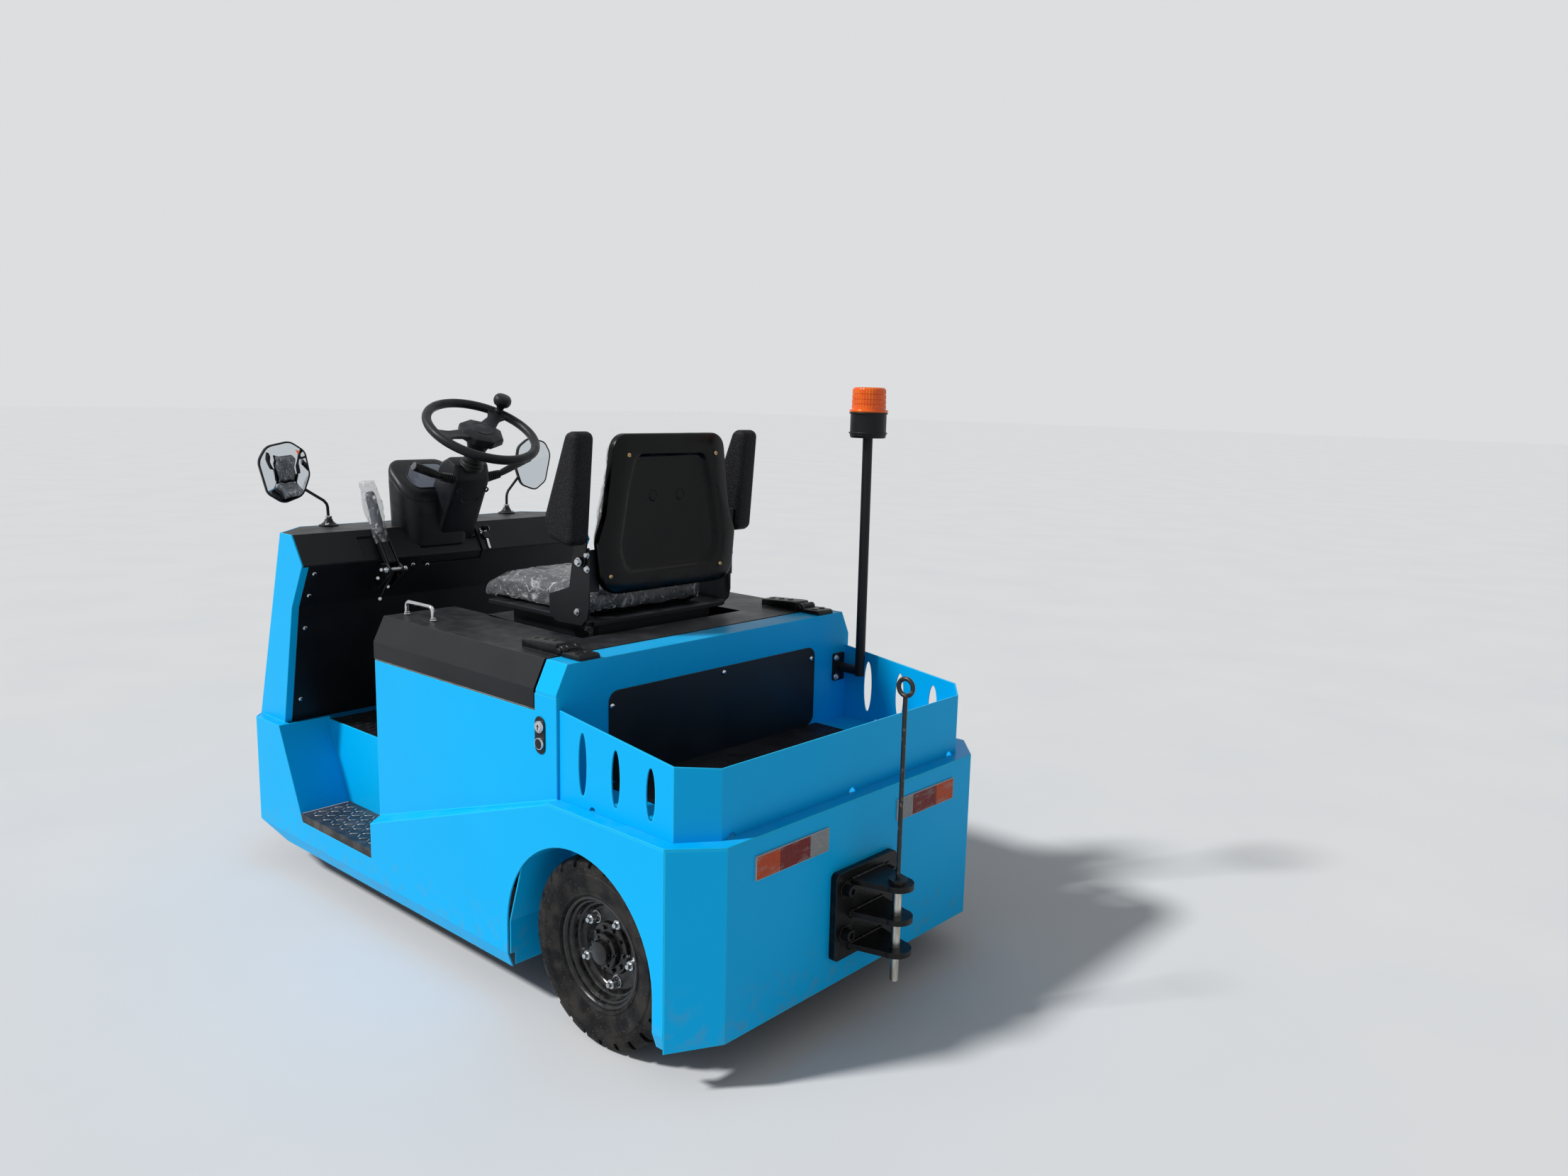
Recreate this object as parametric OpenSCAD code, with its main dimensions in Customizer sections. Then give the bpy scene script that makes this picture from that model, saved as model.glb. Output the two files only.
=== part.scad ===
// Three-wheel electric baggage tug: a sheet-steel body with a luggage tray behind a
// hinged seat hood, a stand-in footwell, one steered front wheel and two driven rear wheels.
// Millimetres, +X forward, +Y to the driver's left, +Z up. Lengths along the tug are
// measured from the rear face of the skirt, and the whole is moved so that the middle of
// its box lies over the origin.

/* [Body] */
// Length from the rear face to the nose
body_len = 1920; // [1900:5:1960]
// Half width over the lower skirt
skirt_half = 516; // [512:1:530]
// Half width over the upper panels, hood and pillars
panel_half = 488; // [484:1:490]
// Thickness of the body sheet
sheet = 4; // [3:0.5:5]
// Height of the skirt's lower edge
skirt_z = 88; // [80:1:96]
// Height of the rear skirt's lower edge
rear_z = 104; // [98:1:112]
// Height of the ledge round the tray
ledge_z = 510; // [505:1:520]
// Height of the ledge beside the nose
front_ledge_z = 427; // [424:1:440]
// Length of the rear corner cut along the tug
rear_cut_x = 80; // [60:1:90]
// Length of the rear corner cut across the tug
rear_cut_y = 91; // [70:1:110]
// Size of the nose's corner cut
nose_cut = 136; // [110:1:150]
// Height of the skirt's inward bent lower band
band_h = 35; // [25:1:45]
// How far that band leans in
band_in = 12; // [6:1:20]
// Height at which the crease below the side panel starts, at the step
crease_z = 271; // [262:1:290]
// Rise of the crease's slope from its lower to its upper line
crease_rise = 15; // [8:1:20]

/* [Step and floor] */
// Rear end of the step, where the side panel starts
step_x = 1168; // [1164:1:1172]
// Front end of the step tread
step_front_x = 1540; // [1500:1:1560]
// Height of the step tread
step_z = 200; // [190:1:215]
// Depth of the step from the skirt's outer face
step_depth = 145; // [120:1:160]
// How far the front wall of the step leans forward at the ledge
step_rake = 106; // [80:1:120]
// Height of the tread's folded lip
lip_h = 22; // [15:1:30]
// Height of the footwell floor
floor_z = 420; // [418:1:423]

/* [Nose and cowl] */
// Height of the cowl's top
cowl_z = 963; // [940:1:980]
// How far the nose leans back from the ledge to the cowl's top
nose_rake = 165; // [120:5:180]
// Length from the rear face to the bend in the cowl's top
cowl_bend_x = 1582; // [1575:1:1600]
// Length from the rear face to the cowl's rear crease
crease_x = 1529; // [1520:1:1540]
// Height of the cowl's rear crease
cowl_crease_z = 885; // [870:1:900]
// Length from the rear face to the knee bend
knee_x = 1597; // [1590:1:1610]
// Height of the knee bend
knee_z = 763; // [740:1:790]
// Length from the rear face to the foot of the knee panel
knee_foot_x = 1668; // [1655:1:1675]

/* [Hood] */
// Length from the rear face to the hood's rear edge
hood_x1 = 520; // [518:1:526]
// Length from the rear face to the hood's front edge
hood_x2 = 1172; // [1165:1:1175]
// Height of the hood's lower edge
hood_z = 694; // [690:1:700]
// Height of the bend in the hood's side
hood_bend_z = 737; // [730:1:745]
// Height of the hood's top
hood_top = 798; // [792:1:805]
// How far the hood's side leans in at the top
hood_lean = 30; // [20:1:40]
// Depth of the seat well in the hood
well_h = 46; // [35:1:55]
// Half width of the seat well
well_half = 266; // [255:1:275]
// Length from the rear face to the well's rear end
well_x1 = 632; // [620:1:640]
// Angle that the hood opens
hood_open = 70; // [40:1:75]

/* [Luggage tray] */
// Length from the rear face to the bulkhead's rear face
bulk_x = 442; // [436:1:448]
// Depth of the bulkhead's hoop along the tug
hoop_d = 70; // [60:1:74]
// Inset of the tray's walls from the skirt
tray_inset = 34; // [30:1:38]
// Length of the tray's corner cut along the tug
tray_cut_x = 57; // [45:1:65]
// Length of the tray's corner cut across the tug
tray_cut_y = 74; // [60:1:85]
// Height of the tray's rear wall above the ledge
tray_h = 145; // [130:1:160]
// Rise of the tray's side wall from its rear to the bulkhead
tray_rise = 50; // [40:1:60]
// Thickness of the tray's walls
tray_t = 3; // [2:0.5:4]

/* [Rear wheels] */
// Length from the rear face to the rear axle
axle_x = 312; // [306:1:318]
// Radius of the rear tyre
tyre_r = 207.5; // [200:0.5:210]
// Width of the rear tyre
tyre_w = 100; // [92:1:106]
// Inset of the tyre's outer side from the skirt
tyre_inset = 20; // [15:1:30]
// Radius of the rim's flange
rim_r = 120; // [112:1:126]
// Height of the tyre's lugs
lug_h = 11; // [8:1:14]
// Number of lugs round the tyre
lugs = 22; // [16:1:26]
// Radius of the wheel arch
arch_r = 238; // [236:1:242]
// Number of wheel nuts
nuts = 5; // [4:1:6]
// Pitch circle radius of the wheel nuts
nut_pcr = 74; // [70:1:78]

/* [Front wheel] */
// Length from the rear face to the steering axis
fork_x = 1712; // [1708:1:1714]
// Radius of the front tyre
front_r = 190; // [180:1:192]
// Width of the front tyre
front_w = 104; // [96:1:110]
// Thickness of the fork's cheeks
cheek_t = 12; // [10:1:16]
// Steering lock to each side
steer_lock = 75; // [60:1:80]

/* [Steering] */
// Lean of the steering column from upright
column_lean = 29; // [26:1:31]
// Height of the steering wheel's centre
wheel_cz = 1243; // [1230:1:1250]
// Length from the rear face to the steering wheel's centre
wheel_cx = 1410; // [1404:1:1416]
// Radius of the steering wheel to the middle of its rim
steer_r = 156; // [150:1:165]
// Thickness of the steering wheel's rim
steer_rim = 22; // [18:1:26]

/* [Seat] */
// Length from the rear face to the back shell's rear face
shell_x = 618; // [612:1:622]
// Height of the back shell's lower edge
shell_z1 = 892; // [884:1:900]
// Height of the back shell's upper edge
shell_z2 = 1268; // [1255:1:1280]
// Half width of the back shell at its widest
shell_half = 225; // [218:1:228]
// Height of the armrest's pivot
arm_z = 971; // [965:1:978]

/* [Hitch and beacon] */
// Distance of the tow pin behind the rear face
pin_x = 98; // [94:1:104]
// Diameter of the tow pin
pin_d = 20; // [16:1:24]
// Clearance between the tow pin and its holes, on the radius
pin_gap = 0.5; // [0.3:0.1:1]
// Radius of the ears' round ends
ear_r = 35.5; // [30:0.5:40]
// Height of the lowest ear's middle
ear_z = 187; // [180:1:195]
// Height from one ear to the next
ear_step = 74; // [66:1:80]
// Half width of the hitch plate
hitch_half = 107; // [95:1:115]
// Lift that frees the tow pin
pin_lift = 240; // [200:5:260]
// Diameter of the beacon's pole
pole_d = 25.4; // [22:0.2:30]
// Height of the beacon's top
beacon_top = 1390; // [1370:5:1420]
// Diameter of the beacon's lens
lens_d = 86; // [80:1:92]

/* [Hidden] */
$fn = 48;

// Paint and finish colours
blue = "deepskyblue";
black = "#18191b";
plastic = "#232427";
rubber = "#1c1c1d";
steel = "silver";
// Clearance between faces of pieces that move past each other
gap = 0.3;
// Reach of the hitch behind the rear face, and the middle of the whole length
hitch_reach = pin_x + ear_r;
mid_x = (body_len - hitch_reach) / 2;
// Outer face of the rear tyre and the middle of its width
tyre_out = skirt_half - tyre_inset;
tyre_y = tyre_out - tyre_w / 2;
// Half width over the tray's walls
tray_half = skirt_half - tray_inset;
// Inner wall of the step recess
step_in = skirt_half - step_depth;
// Length at which the nose's corner cut starts on the skirt
nose_x = body_len - nose_cut;
// Sum of length and half width along the nose's corner cut
nose_sum = nose_x + skirt_half;
// Length at which the nose is welded to the side skirts
seam_x = nose_x - 6;
// Half width of the nose's flat front
nose_half = nose_sum - body_len;
// Rise of the tread's front wall
step_rise = front_ledge_z - step_z;
// Height of the rear tray wall's top, and of its side wall's top at the bulkhead
tray_top = ledge_z + tray_h;
tray_top2 = tray_top + tray_rise;
// Length of the battery compartment's rear wall
hoop_x2 = bulk_x + hoop_d;
// Front lower edge of the skirt: where it starts to rise and its slope
rise_x = 1650;
rise_slope = 0.27;

// Moves lengths measured from the rear face into the tug's own frame
module tug() translate([-mid_x, 0, 0]) children();
// The same piece on both sides
module both() {
    children();
    mirror([0, 1, 0]) children();
}
// An outline drawn as length and height, given a width from y0 to y1
module plate_xz(y0, y1) translate([0, y1, 0]) rotate([90, 0, 0]) linear_extrude(y1 - y0) children();
// An outline drawn as width and height, given a length from x0 to x1
module plate_yz(x0, x1) translate([x0, 0, 0]) rotate([90, 0, 90]) linear_extrude(x1 - x0) children();
// A flat piece between two heights
module plate_xy(z0, z1) translate([0, 0, z0]) linear_extrude(z1 - z0) children();
// A block from one corner to the other
module block(a, b) translate(a) cube(b - a);
// A strip of thickness t that follows a line of points, each [x, z], thickened towards +x and -z
module strip(points, dx, dz) polygon(concat(points,
    [for (i = [len(points) - 1:-1:0]) points[i] + [dx, dz]]));
// A round bar from a to b
module bar(a, b, d) {
    v = b - a;
    translate(a) rotate([0, acos(v[2] / norm(v)), atan2(v[1], v[0])])
        cylinder(d = d, h = norm(v));
}
// An ellipse with half axes a and b
module ellipse(a, b) polygon([for (i = [0:15:345]) [a * cos(i), b * sin(i)]]);
// A rectangle with round corners, centred
module rounded(w, h, r) {
    square([w - 2 * r, h], center = true);
    square([w, h - 2 * r], center = true);
    for (x = [-1, 1], y = [-1, 1]) translate([x * (w / 2 - r), y * (h / 2 - r)]) circle(r);
}

// Plan outline of the skirt's rear end, inset by t, ending at length x2
function rear_plan(t, x2) = let(k = t * 0.45) [
    [x2, skirt_half - t], [rear_cut_x + k, skirt_half - t],
    [t, skirt_half - rear_cut_y - k], [t, -skirt_half + rear_cut_y + k],
    [rear_cut_x + k, -skirt_half + t], [x2, -skirt_half + t]];
// Plan outline of the tray's walls, inset by t, ending at length x2
function tray_plan(t, x2) = let(k = t * 0.45) [
    [x2, tray_half - t], [tray_inset + tray_cut_x + k, tray_half - t],
    [tray_inset + t, tray_half - tray_cut_y - k], [tray_inset + t, -tray_half + tray_cut_y + k],
    [tray_inset + tray_cut_x + k, -tray_half + t], [x2, -tray_half + t]];
// Half plan of the nose at the skirt, inset by t: side, corner, front
function nose_plan(t, x1) = [
    [x1, skirt_half - t], [nose_sum - 1.414 * t - skirt_half + t, skirt_half - t],
    [body_len - t, nose_half - 0.414 * t], [body_len - t, -nose_half + 0.414 * t],
    [nose_sum - 1.414 * t - skirt_half + t, -skirt_half + t], [x1, -skirt_half + t]];
// Half plan of the upper nose, moved back by back, inset by t
function upper_plan(back, t, x1) = [
    [x1, panel_half - t], [nose_sum - 1.414 * t - panel_half + t - back, panel_half - t],
    [body_len - t - back, nose_half - 0.414 * t], [body_len - t - back, -nose_half + 0.414 * t],
    [nose_sum - 1.414 * t - panel_half + t - back, -panel_half + t], [x1, -panel_half + t]];

// Outline of the wheel arch, grown by g
arch_top = arch_r * 1.8 + 6;
module arch(g) {
    translate([axle_x + 37, arch_r * 0.8]) circle(arch_r + g);
    translate([axle_x + 37 - arch_r - g, -1]) square([2 * (arch_r + g), arch_r * 0.8 + 1]);
}

// Welded side shell: skirt with its arch, crease, side panel, step recess and door pillar
module side_shell() {
    lower = [[rear_cut_x, skirt_z + band_h], [seam_x, skirt_z + band_h], [seam_x, front_ledge_z - sheet],
        [step_front_x + step_rake - 2, front_ledge_z - sheet],
        [step_front_x - step_rake * lip_h / step_rise, step_z - lip_h], [step_x, step_z - lip_h],
        [step_x, crease_z], [bulk_x, ledge_z - sheet], [rear_cut_x, ledge_z - sheet]];
    upper = [[bulk_x, ledge_z - 2], [step_x, crease_z + crease_rise - sheet],
        [step_x, hood_z - 4], [hoop_x2 + sheet, hood_z - 4], [hoop_x2 + sheet, hood_bend_z - 8],
        [bulk_x, hood_bend_z - 8]];
    pillar = [[cowl_bend_x, cowl_z], [crease_x, cowl_crease_z], [knee_x, knee_z],
        [knee_foot_x, front_ledge_z], [nose_sum - panel_half - 0.4, front_ledge_z],
        [nose_sum - panel_half - nose_rake - 0.4, cowl_z]];
    difference() {
        union() {
            plate_xz(skirt_half - sheet, skirt_half) polygon(lower);
            // lower band, bent inwards
            plate_yz(rear_cut_x, seam_x) polygon([[skirt_half, skirt_z + band_h],
                [skirt_half - band_in, skirt_z], [skirt_half - band_in - sheet, skirt_z],
                [skirt_half - sheet, skirt_z + band_h]]);
        }
        plate_xz(skirt_half - 40, skirt_half + 1) arch(0);
        // rising front edge
        plate_xz(skirt_half - 40, skirt_half + 1) polygon([[rise_x, skirt_z - 1],
            [nose_x + 1, skirt_z - 1], [nose_x + 1, skirt_z + (nose_x - rise_x) * rise_slope],
            [rise_x, skirt_z]]);
    }
    // sloping strip between the crease's two lines
    hull() {
        plate_yz(step_x - 1, step_x) polygon([[skirt_half, crease_z], [panel_half, crease_z + crease_rise],
            [panel_half - sheet, crease_z + crease_rise - sheet], [skirt_half - sheet, crease_z - sheet]]);
        plate_yz(bulk_x, bulk_x + 1) polygon([[skirt_half, ledge_z - sheet], [panel_half, ledge_z],
            [panel_half - sheet, ledge_z - sheet], [skirt_half - sheet, ledge_z - 2 * sheet]]);
    }
    plate_xz(panel_half - sheet, panel_half) polygon(upper);
    plate_xz(panel_half - sheet, panel_half) polygon(pillar);
    // return flange along the pillar's rear edge
    plate_xz(panel_half - 20, panel_half - sheet) strip([[crease_x + 3, cowl_crease_z - 5], [knee_x, knee_z],
        [knee_foot_x, front_ledge_z]], 3, 0);
    // ledge beside the nose
    plate_xy(front_ledge_z - sheet, front_ledge_z) polygon([[step_front_x + step_rake, skirt_half],
        [seam_x, skirt_half], [seam_x, skirt_half - sheet],
        [nose_sum - panel_half - 2, panel_half - sheet], [step_front_x + step_rake, panel_half - sheet]]);
    // walls of the step recess: front, inner and rear
    plate_xz(step_in - sheet, skirt_half - sheet) polygon([[step_front_x, step_z],
        [step_front_x + step_rake, front_ledge_z], [step_front_x + step_rake + sheet, front_ledge_z],
        [step_front_x + sheet, step_z]]);
    plate_xz(step_in - sheet, step_in) polygon([[step_x - sheet, step_z - lip_h],
        [step_front_x, step_z - lip_h], [step_front_x + step_rake, floor_z], [step_x - sheet, floor_z]]);
    plate_yz(step_x - sheet, step_x) polygon([[step_in - sheet, step_z - lip_h],
        [skirt_half - sheet, step_z - lip_h], [skirt_half - sheet, crease_z - sheet],
        [panel_half - sheet, crease_z + crease_rise - sheet], [panel_half - sheet, hood_z - 4],
        [panel_half - 30, hood_z - 4], [panel_half - 30, floor_z], [step_in - sheet, floor_z]]);
}
module body_sides() color(blue) tug() both() side_shell();

// Rear skirt with its cut corners
module rear_skirt() color(blue) tug() difference() {
    plate_xy(skirt_z, ledge_z - sheet) difference() {
        polygon(rear_plan(0, rear_cut_x));
        polygon(rear_plan(sheet, rear_cut_x + 1));
    }
    // the lower edge rises from the sides to the rear face
    plate_xz(-skirt_half - 1, skirt_half + 1)
        polygon([[-1, skirt_z - 1], [rear_cut_x, skirt_z - 1], [rear_cut_x, skirt_z], [-1, rear_z]]);
}

// Nose: upright lower part and the leaning upper part, one welded shell
module nose_shell() color(blue) tug() {
    difference() {
        plate_xy(skirt_z, front_ledge_z) difference() {
            polygon(nose_plan(0, seam_x));
            polygon(nose_plan(sheet, seam_x - 1));
        }
        plate_xz(-skirt_half - 1, skirt_half + 1) polygon([[rise_x, skirt_z - 1],
            [body_len + 1, skirt_z - 1], [body_len + 1, skirt_z + (body_len - rise_x) * rise_slope],
            [rise_x, skirt_z]]);
    }
    difference() {
        hull() {
            plate_xy(front_ledge_z, front_ledge_z + 1)
                polygon(upper_plan(0, 0, nose_sum - panel_half));
            plate_xy(cowl_z - 1, cowl_z)
                polygon(upper_plan(nose_rake, 0, nose_sum - panel_half - nose_rake));
        }
        hull() {
            plate_xy(front_ledge_z - 1, front_ledge_z)
                polygon(upper_plan(0, sheet, nose_sum - panel_half - 40));
            plate_xy(cowl_z, cowl_z + 1)
                polygon(upper_plan(nose_rake, sheet, nose_sum - panel_half - nose_rake - 40));
        }
    }
}

// Deck that closes the skirt's top and shows as the ledge round the tray
module tray_deck() color(blue) tug() plate_xy(ledge_z - sheet, ledge_z)
    polygon(rear_plan(0, bulk_x));

// Tray walls: cut corners, sloping top edge, three upright slots a side, drain notches
module tray_walls() color(blue) tug() difference() {
    plate_xy(ledge_z, tray_top2 + 20) difference() {
        polygon(tray_plan(0, bulk_x));
        polygon(tray_plan(tray_t, bulk_x + 1));
    }
    plate_xz(-skirt_half, skirt_half) polygon([[0, tray_top - tray_rise * tray_inset / (bulk_x - tray_inset)],
        [bulk_x + 1, tray_top2], [bulk_x + 1, tray_top2 + 30], [0, tray_top2 + 30]]);
    // each slot: [length from the rear face, height above its foot]
    for (s = [[156, 109], [260, 122], [364, 136]])
        plate_xz(-skirt_half, skirt_half) translate([s[0], ledge_z + 26 + s[1] / 2]) ellipse(13, s[1] / 2);
    for (y = [-378, 0, 378]) translate([0, y, ledge_z]) rotate([0, 90, 0]) cylinder(r = 10, h = 60);
    for (x = [332]) translate([x, skirt_half, ledge_z]) rotate([90, 0, 0])
        cylinder(r = 10, h = 2 * skirt_half);
}

// Black anti-slip sheet on the tray's deck
module tray_mat() color(black) tug() plate_xy(ledge_z, ledge_z + 3)
    polygon([[bulk_x - 2, 360], [90, 360], [60, 330], [60, -330], [90, -360], [bulk_x - 2, -360]]);

// Outline of the bulkhead hoop, shrunk by g
function hoop(g) = [[panel_half - g, ledge_z], [panel_half - g, hood_bend_z - g * 0.3],
    [panel_half - hood_lean - g * 0.8, hood_top - g], [-panel_half + hood_lean + g * 0.8, hood_top - g],
    [-panel_half + g, hood_bend_z - g * 0.3], [-panel_half + g, ledge_z]];
// Bulkhead: rear face with a folded hoop that carries the hood's hinges
module bulkhead() color(blue) tug() difference() {
    union() {
        plate_yz(bulk_x, bulk_x + sheet) polygon(hoop(sheet));
        plate_yz(bulk_x, hoop_x2) difference() {
            polygon(hoop(0));
            polygon(concat([[panel_half - sheet, ledge_z - 1]], hoop(sheet), [[-panel_half + sheet, ledge_z - 1]]));
            square([3 * panel_half, 2 * (hood_bend_z - 8)], center = true);
        }
    }
}

// Black cover over the opening in the bulkhead
module bulkhead_cover() color(black) tug() plate_yz(bulk_x - 2, bulk_x) difference() {
    translate([0, (ledge_z + 3 + 720) / 2]) rounded(694, 720 - ledge_z - 3, 26);
    // square lower corners need no rounding where they meet the mat
}

// Wheel boxes inside the arches: folded plates round the tyre, with an inner wall
// Outline round the tyre, grown by g: [length, height]
function box_line(g) = [[axle_x - tyre_r - 12 - g, skirt_z + 6], [axle_x - tyre_r - 12 - g, 262],
    [axle_x - 192 - g, 356], [axle_x - 114, arch_top + g], [axle_x + 112, arch_top + g],
    [axle_x + 218 + g, 358], [axle_x + 268 + g, 200], [axle_x + 268 + g, skirt_z + 6]];
module wheel_boxes() color(blue) tug() both() difference() {
    union() {
        plate_xz(step_in, skirt_half - sheet) difference() {
            polygon(box_line(3));
            polygon(concat([[axle_x - tyre_r - 12, 0]], box_line(0), [[axle_x + 268, 0]]));
        }
        plate_xz(step_in - 3, step_in) difference() {
            polygon(box_line(3));
            translate([axle_x - 60, 0]) square([120, tyre_r + 60]);
        }
    }
    // room for the skirt's bent lower band
    block([0, skirt_half - sheet - band_in - gap, 0], [2 * axle_x + 200, skirt_half, skirt_z + band_h + gap]);
}

// Frame: two box rails, cross members, axle saddles, battery tray and the fork's head tube
rail_y = 300;
rail_w = 50;
rail_z1 = 112;
rail_z2 = 166;
head_r = 26;
head_z1 = front_r * 2 + 30;
head_z2 = head_z1 + 60;
module chassis_frame() color(black) tug() {
    both() block([sheet, rail_y, rail_z1], [1480, rail_y + rail_w, rail_z2]);
    for (x = [sheet, 560, 820, 1130, 1420]) block([x, -rail_y, rail_z1], [x + 60, rail_y, rail_z2]);
    // saddles that hold the axle tube
    both() difference() {
        block([axle_x - 50, rail_y + 5, rail_z2], [axle_x + 50, rail_y + rail_w - 5, tyre_r]);
        translate([axle_x, 0, tyre_r]) rotate([-90, 0, 0]) cylinder(d = axle_d + 2 * gap, h = 500);
    }
    // battery tray
    block([560, -340, rail_z2], [1150, 340, rail_z2 + 6]);
    // posts that carry the floor and the head tube
    both() {
        block([1440, rail_y, rail_z2], [1480, rail_y + 40, floor_z - 6]);
        block([1190, rail_y, rail_z2], [1230, rail_y + 40, floor_z - 6]);
        block([1440, 300, floor_z - 46], [1480, skirt_half - step_depth - sheet, floor_z - 6]);
    }
    // closing plate between footwell and wheel well
    block([1440, -rail_y, floor_z - 36], [1476, rail_y, floor_z - 6]);
    difference() {
        union() {
            translate([fork_x, 0, head_z1]) cylinder(r = head_r + 12, h = head_z2 - head_z1);
            block([knee_foot_x + 8, -panel_half + sheet, head_z1 + 20],
                [fork_x + 12, panel_half - sheet, head_z2 - 8]);
        }
        translate([fork_x, 0, head_z1 - 1]) cylinder(r = head_r + 0.2, h = 100);
    }
}

// Driven axle: tube, gear case and the motor that lies ahead of it, as plain outer shapes
axle_d = 70;
axle_half = step_in - 20;
module rear_axle() color(black) tug() {
    translate([axle_x, -axle_half, tyre_r]) rotate([-90, 0, 0]) cylinder(d = axle_d, h = 2 * axle_half);
    both() translate([axle_x, axle_half, tyre_r]) rotate([-90, 0, 0])
        cylinder(d = 60, h = tyre_out - 70 - axle_half);
    translate([axle_x, -70, tyre_r]) rotate([-90, 0, 0]) cylinder(r = 95, h = 140);
    translate([axle_x, 0, tyre_r]) rotate([0, 90, 0]) cylinder(r = 75, h = 235);
}

// Traction battery: one plain block
module battery_box() color("dimgray") tug() block([572, -330, rail_z2 + 6], [1140, 330, 640]);

// Footwell floor
module floor_plate() color(black) tug() plate_xy(floor_z - 6, floor_z) polygon([[step_x, step_in - sheet - gap],
    [step_front_x + 100, step_in - sheet - gap], [step_front_x + 100, -step_in + sheet + gap],
    [step_x, -step_in + sheet + gap]]);

// Chequer-plate step treads with a folded lip
module step_treads() color(black) tug() both() {
    block([step_x, step_in, step_z - sheet], [step_front_x - 2, skirt_half - sheet, step_z]);
    plate_xz(skirt_half - sheet, skirt_half) polygon([[step_x, step_z - lip_h], [step_x, step_z],
        [step_front_x, step_z], [step_front_x - step_rake * lip_h / step_rise, step_z - lip_h]]);
}

// Black knee panel under the cowl
knee_half = panel_half - 20 - gap;
module knee_panel() color(black) tug() difference() {
    plate_xz(-knee_half, knee_half) strip([[crease_x + 3, cowl_crease_z - 5], [knee_x, knee_z],
        [knee_foot_x, front_ledge_z - 3]], 3, 0);
    column_cut();
}

// Black cowl top: flat part with the nose's corner cuts, and a part that slopes to the crease
module cowl_top() color(black) tug() difference() {
    union() {
        plate_xy(cowl_z - 3, cowl_z) polygon(upper_plan(nose_rake, sheet + gap, cowl_bend_x));
        plate_xz(-panel_half + sheet + gap, panel_half - sheet - gap) strip([[cowl_bend_x, cowl_z],
            [crease_x, cowl_crease_z]], 0, -4);
    }
    column_cut();
    // slot that the parking brake lever moves in
    block([crease_x - 1, lever_y - 30, cowl_crease_z - 20], [cowl_bend_x - 11, lever_y + 70, cowl_z - 14]);
}
// Opening in the cowl for the column
module column_cut() intersection() {
    block([crease_x - 60, -78, cowl_crease_z - 30], [crease_x + 160, 125, cowl_z + 5]);
    on_column() block([-400, -100, -600], [col_front + gap, 130, 0]);
}

// Puts a piece in the frame of the steering column: origin at the wheel's centre, z along the axis
module on_column() translate([wheel_cx, 0, wheel_cz]) rotate([0, -column_lean, 0]) children();

// Column cover, with a sloping upper edge, a rubber boot and the two stalks in their bellows
col_half = 66;
col_front = 70;
shaft_r = 14;
module steering_column() color(plastic) tug() on_column() {
    difference() {
        rotate([90, 0, 0]) translate([0, 0, -col_half]) linear_extrude(2 * col_half)
            polygon([[-30, -142], [-8, -114], [46, -114], [col_front - 4, -134], [col_front, -440], [-8, -440], [-30, -408]]);
        translate([0, 0, -175]) cylinder(r = shaft_r + 0.5, h = 80);
    }
    difference() {
        translate([0, 0, -114]) cylinder(r1 = 34, r2 = 24, h = 26);
        translate([0, 0, -120]) cylinder(r = shaft_r + 0.5, h = 40);
    }
    // stalks: [side, base below the wheel, end out from the axis, end below the wheel, thickness]
    for (k = [[1, -152, 180, -117, 24], [-1, -150, 203, -101, 20]]) {
        bar([-10, k[0] * (col_half - 4), k[1]], [-8, k[0] * (col_half + 32), k[1] + 8], 30);
        bar([-8, k[0] * (col_half + 26), k[1] + 8], [8, k[0] * k[2], k[3]], k[4]);
    }
}

// Instrument pod beside the column: a round-cornered housing with a sloping face, cut to
// stand on the cowl
pod_x = 1610;
pod_y = 137;
pod_w = 126;
module instrument_pod() color(plastic) tug() difference() {
    translate([pod_x, pod_y, cowl_crease_z]) linear_extrude(260) rounded(144, pod_w, 34);
    // sloping top face
    translate([pod_x - 76, 0, 1056]) rotate([0, -36, 0]) block([-60, 0, 0], [300, 300, 200]);
    // underside, on the cowl's slope and flat
    plate_xz(0, 300) polygon([[crease_x - 40, cowl_crease_z - 60], [crease_x - 40, cowl_crease_z + gap],
        [crease_x, cowl_crease_z + gap], [cowl_bend_x, cowl_z + gap], [1800, cowl_z + gap],
        [1800, cowl_crease_z - 60]]);
    plate_xz(0, 300) polygon([[1500, 700], [1500, 1120], [1546, 885]]);
}

// Parking brake: lever between two bracket plates on the knee panel, reaching over its slot
lever_y = 238;
brake_x = 1490;
brake_z = 858;
grip_x = 1575;
grip_z = 969;
function knee_at(z) = crease_x + 3 + (cowl_crease_z - 5 - z) * (knee_x - crease_x - 3) / (cowl_crease_z - 5 - knee_z);
module brake_lever() color(steel) tug() {
    for (y = [-22, 17]) plate_xz(lever_y + y, lever_y + y + 5) polygon([[knee_at(872) - gap, 872],
        [brake_x + 8, brake_z + 16], [brake_x - 12, brake_z + 6], [brake_x - 10, brake_z - 14],
        [brake_x + 50, brake_z - 56], [knee_at(790) - gap, 790]]);
    translate([brake_x, lever_y - 30, brake_z]) rotate([-90, 0, 0]) cylinder(d = 14, h = 60);
    bar([brake_x, lever_y, brake_z], [grip_x, lever_y, grip_z], 16);
    bar([grip_x, lever_y, grip_z], [grip_x + 46, lever_y, grip_z + 98], 30);
}

// Accelerator and brake pedals
module pedals() color(rubber) tug() for (y = [-60, -190]) {
    // tread plate on an upright foot
    translate([1545, y, floor_z + 40]) rotate([0, 35, 0]) cube([12, 70, 90]);
    block([1575, y + 25, floor_z], [1587, y + 45, floor_z + 80]);
}

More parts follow.
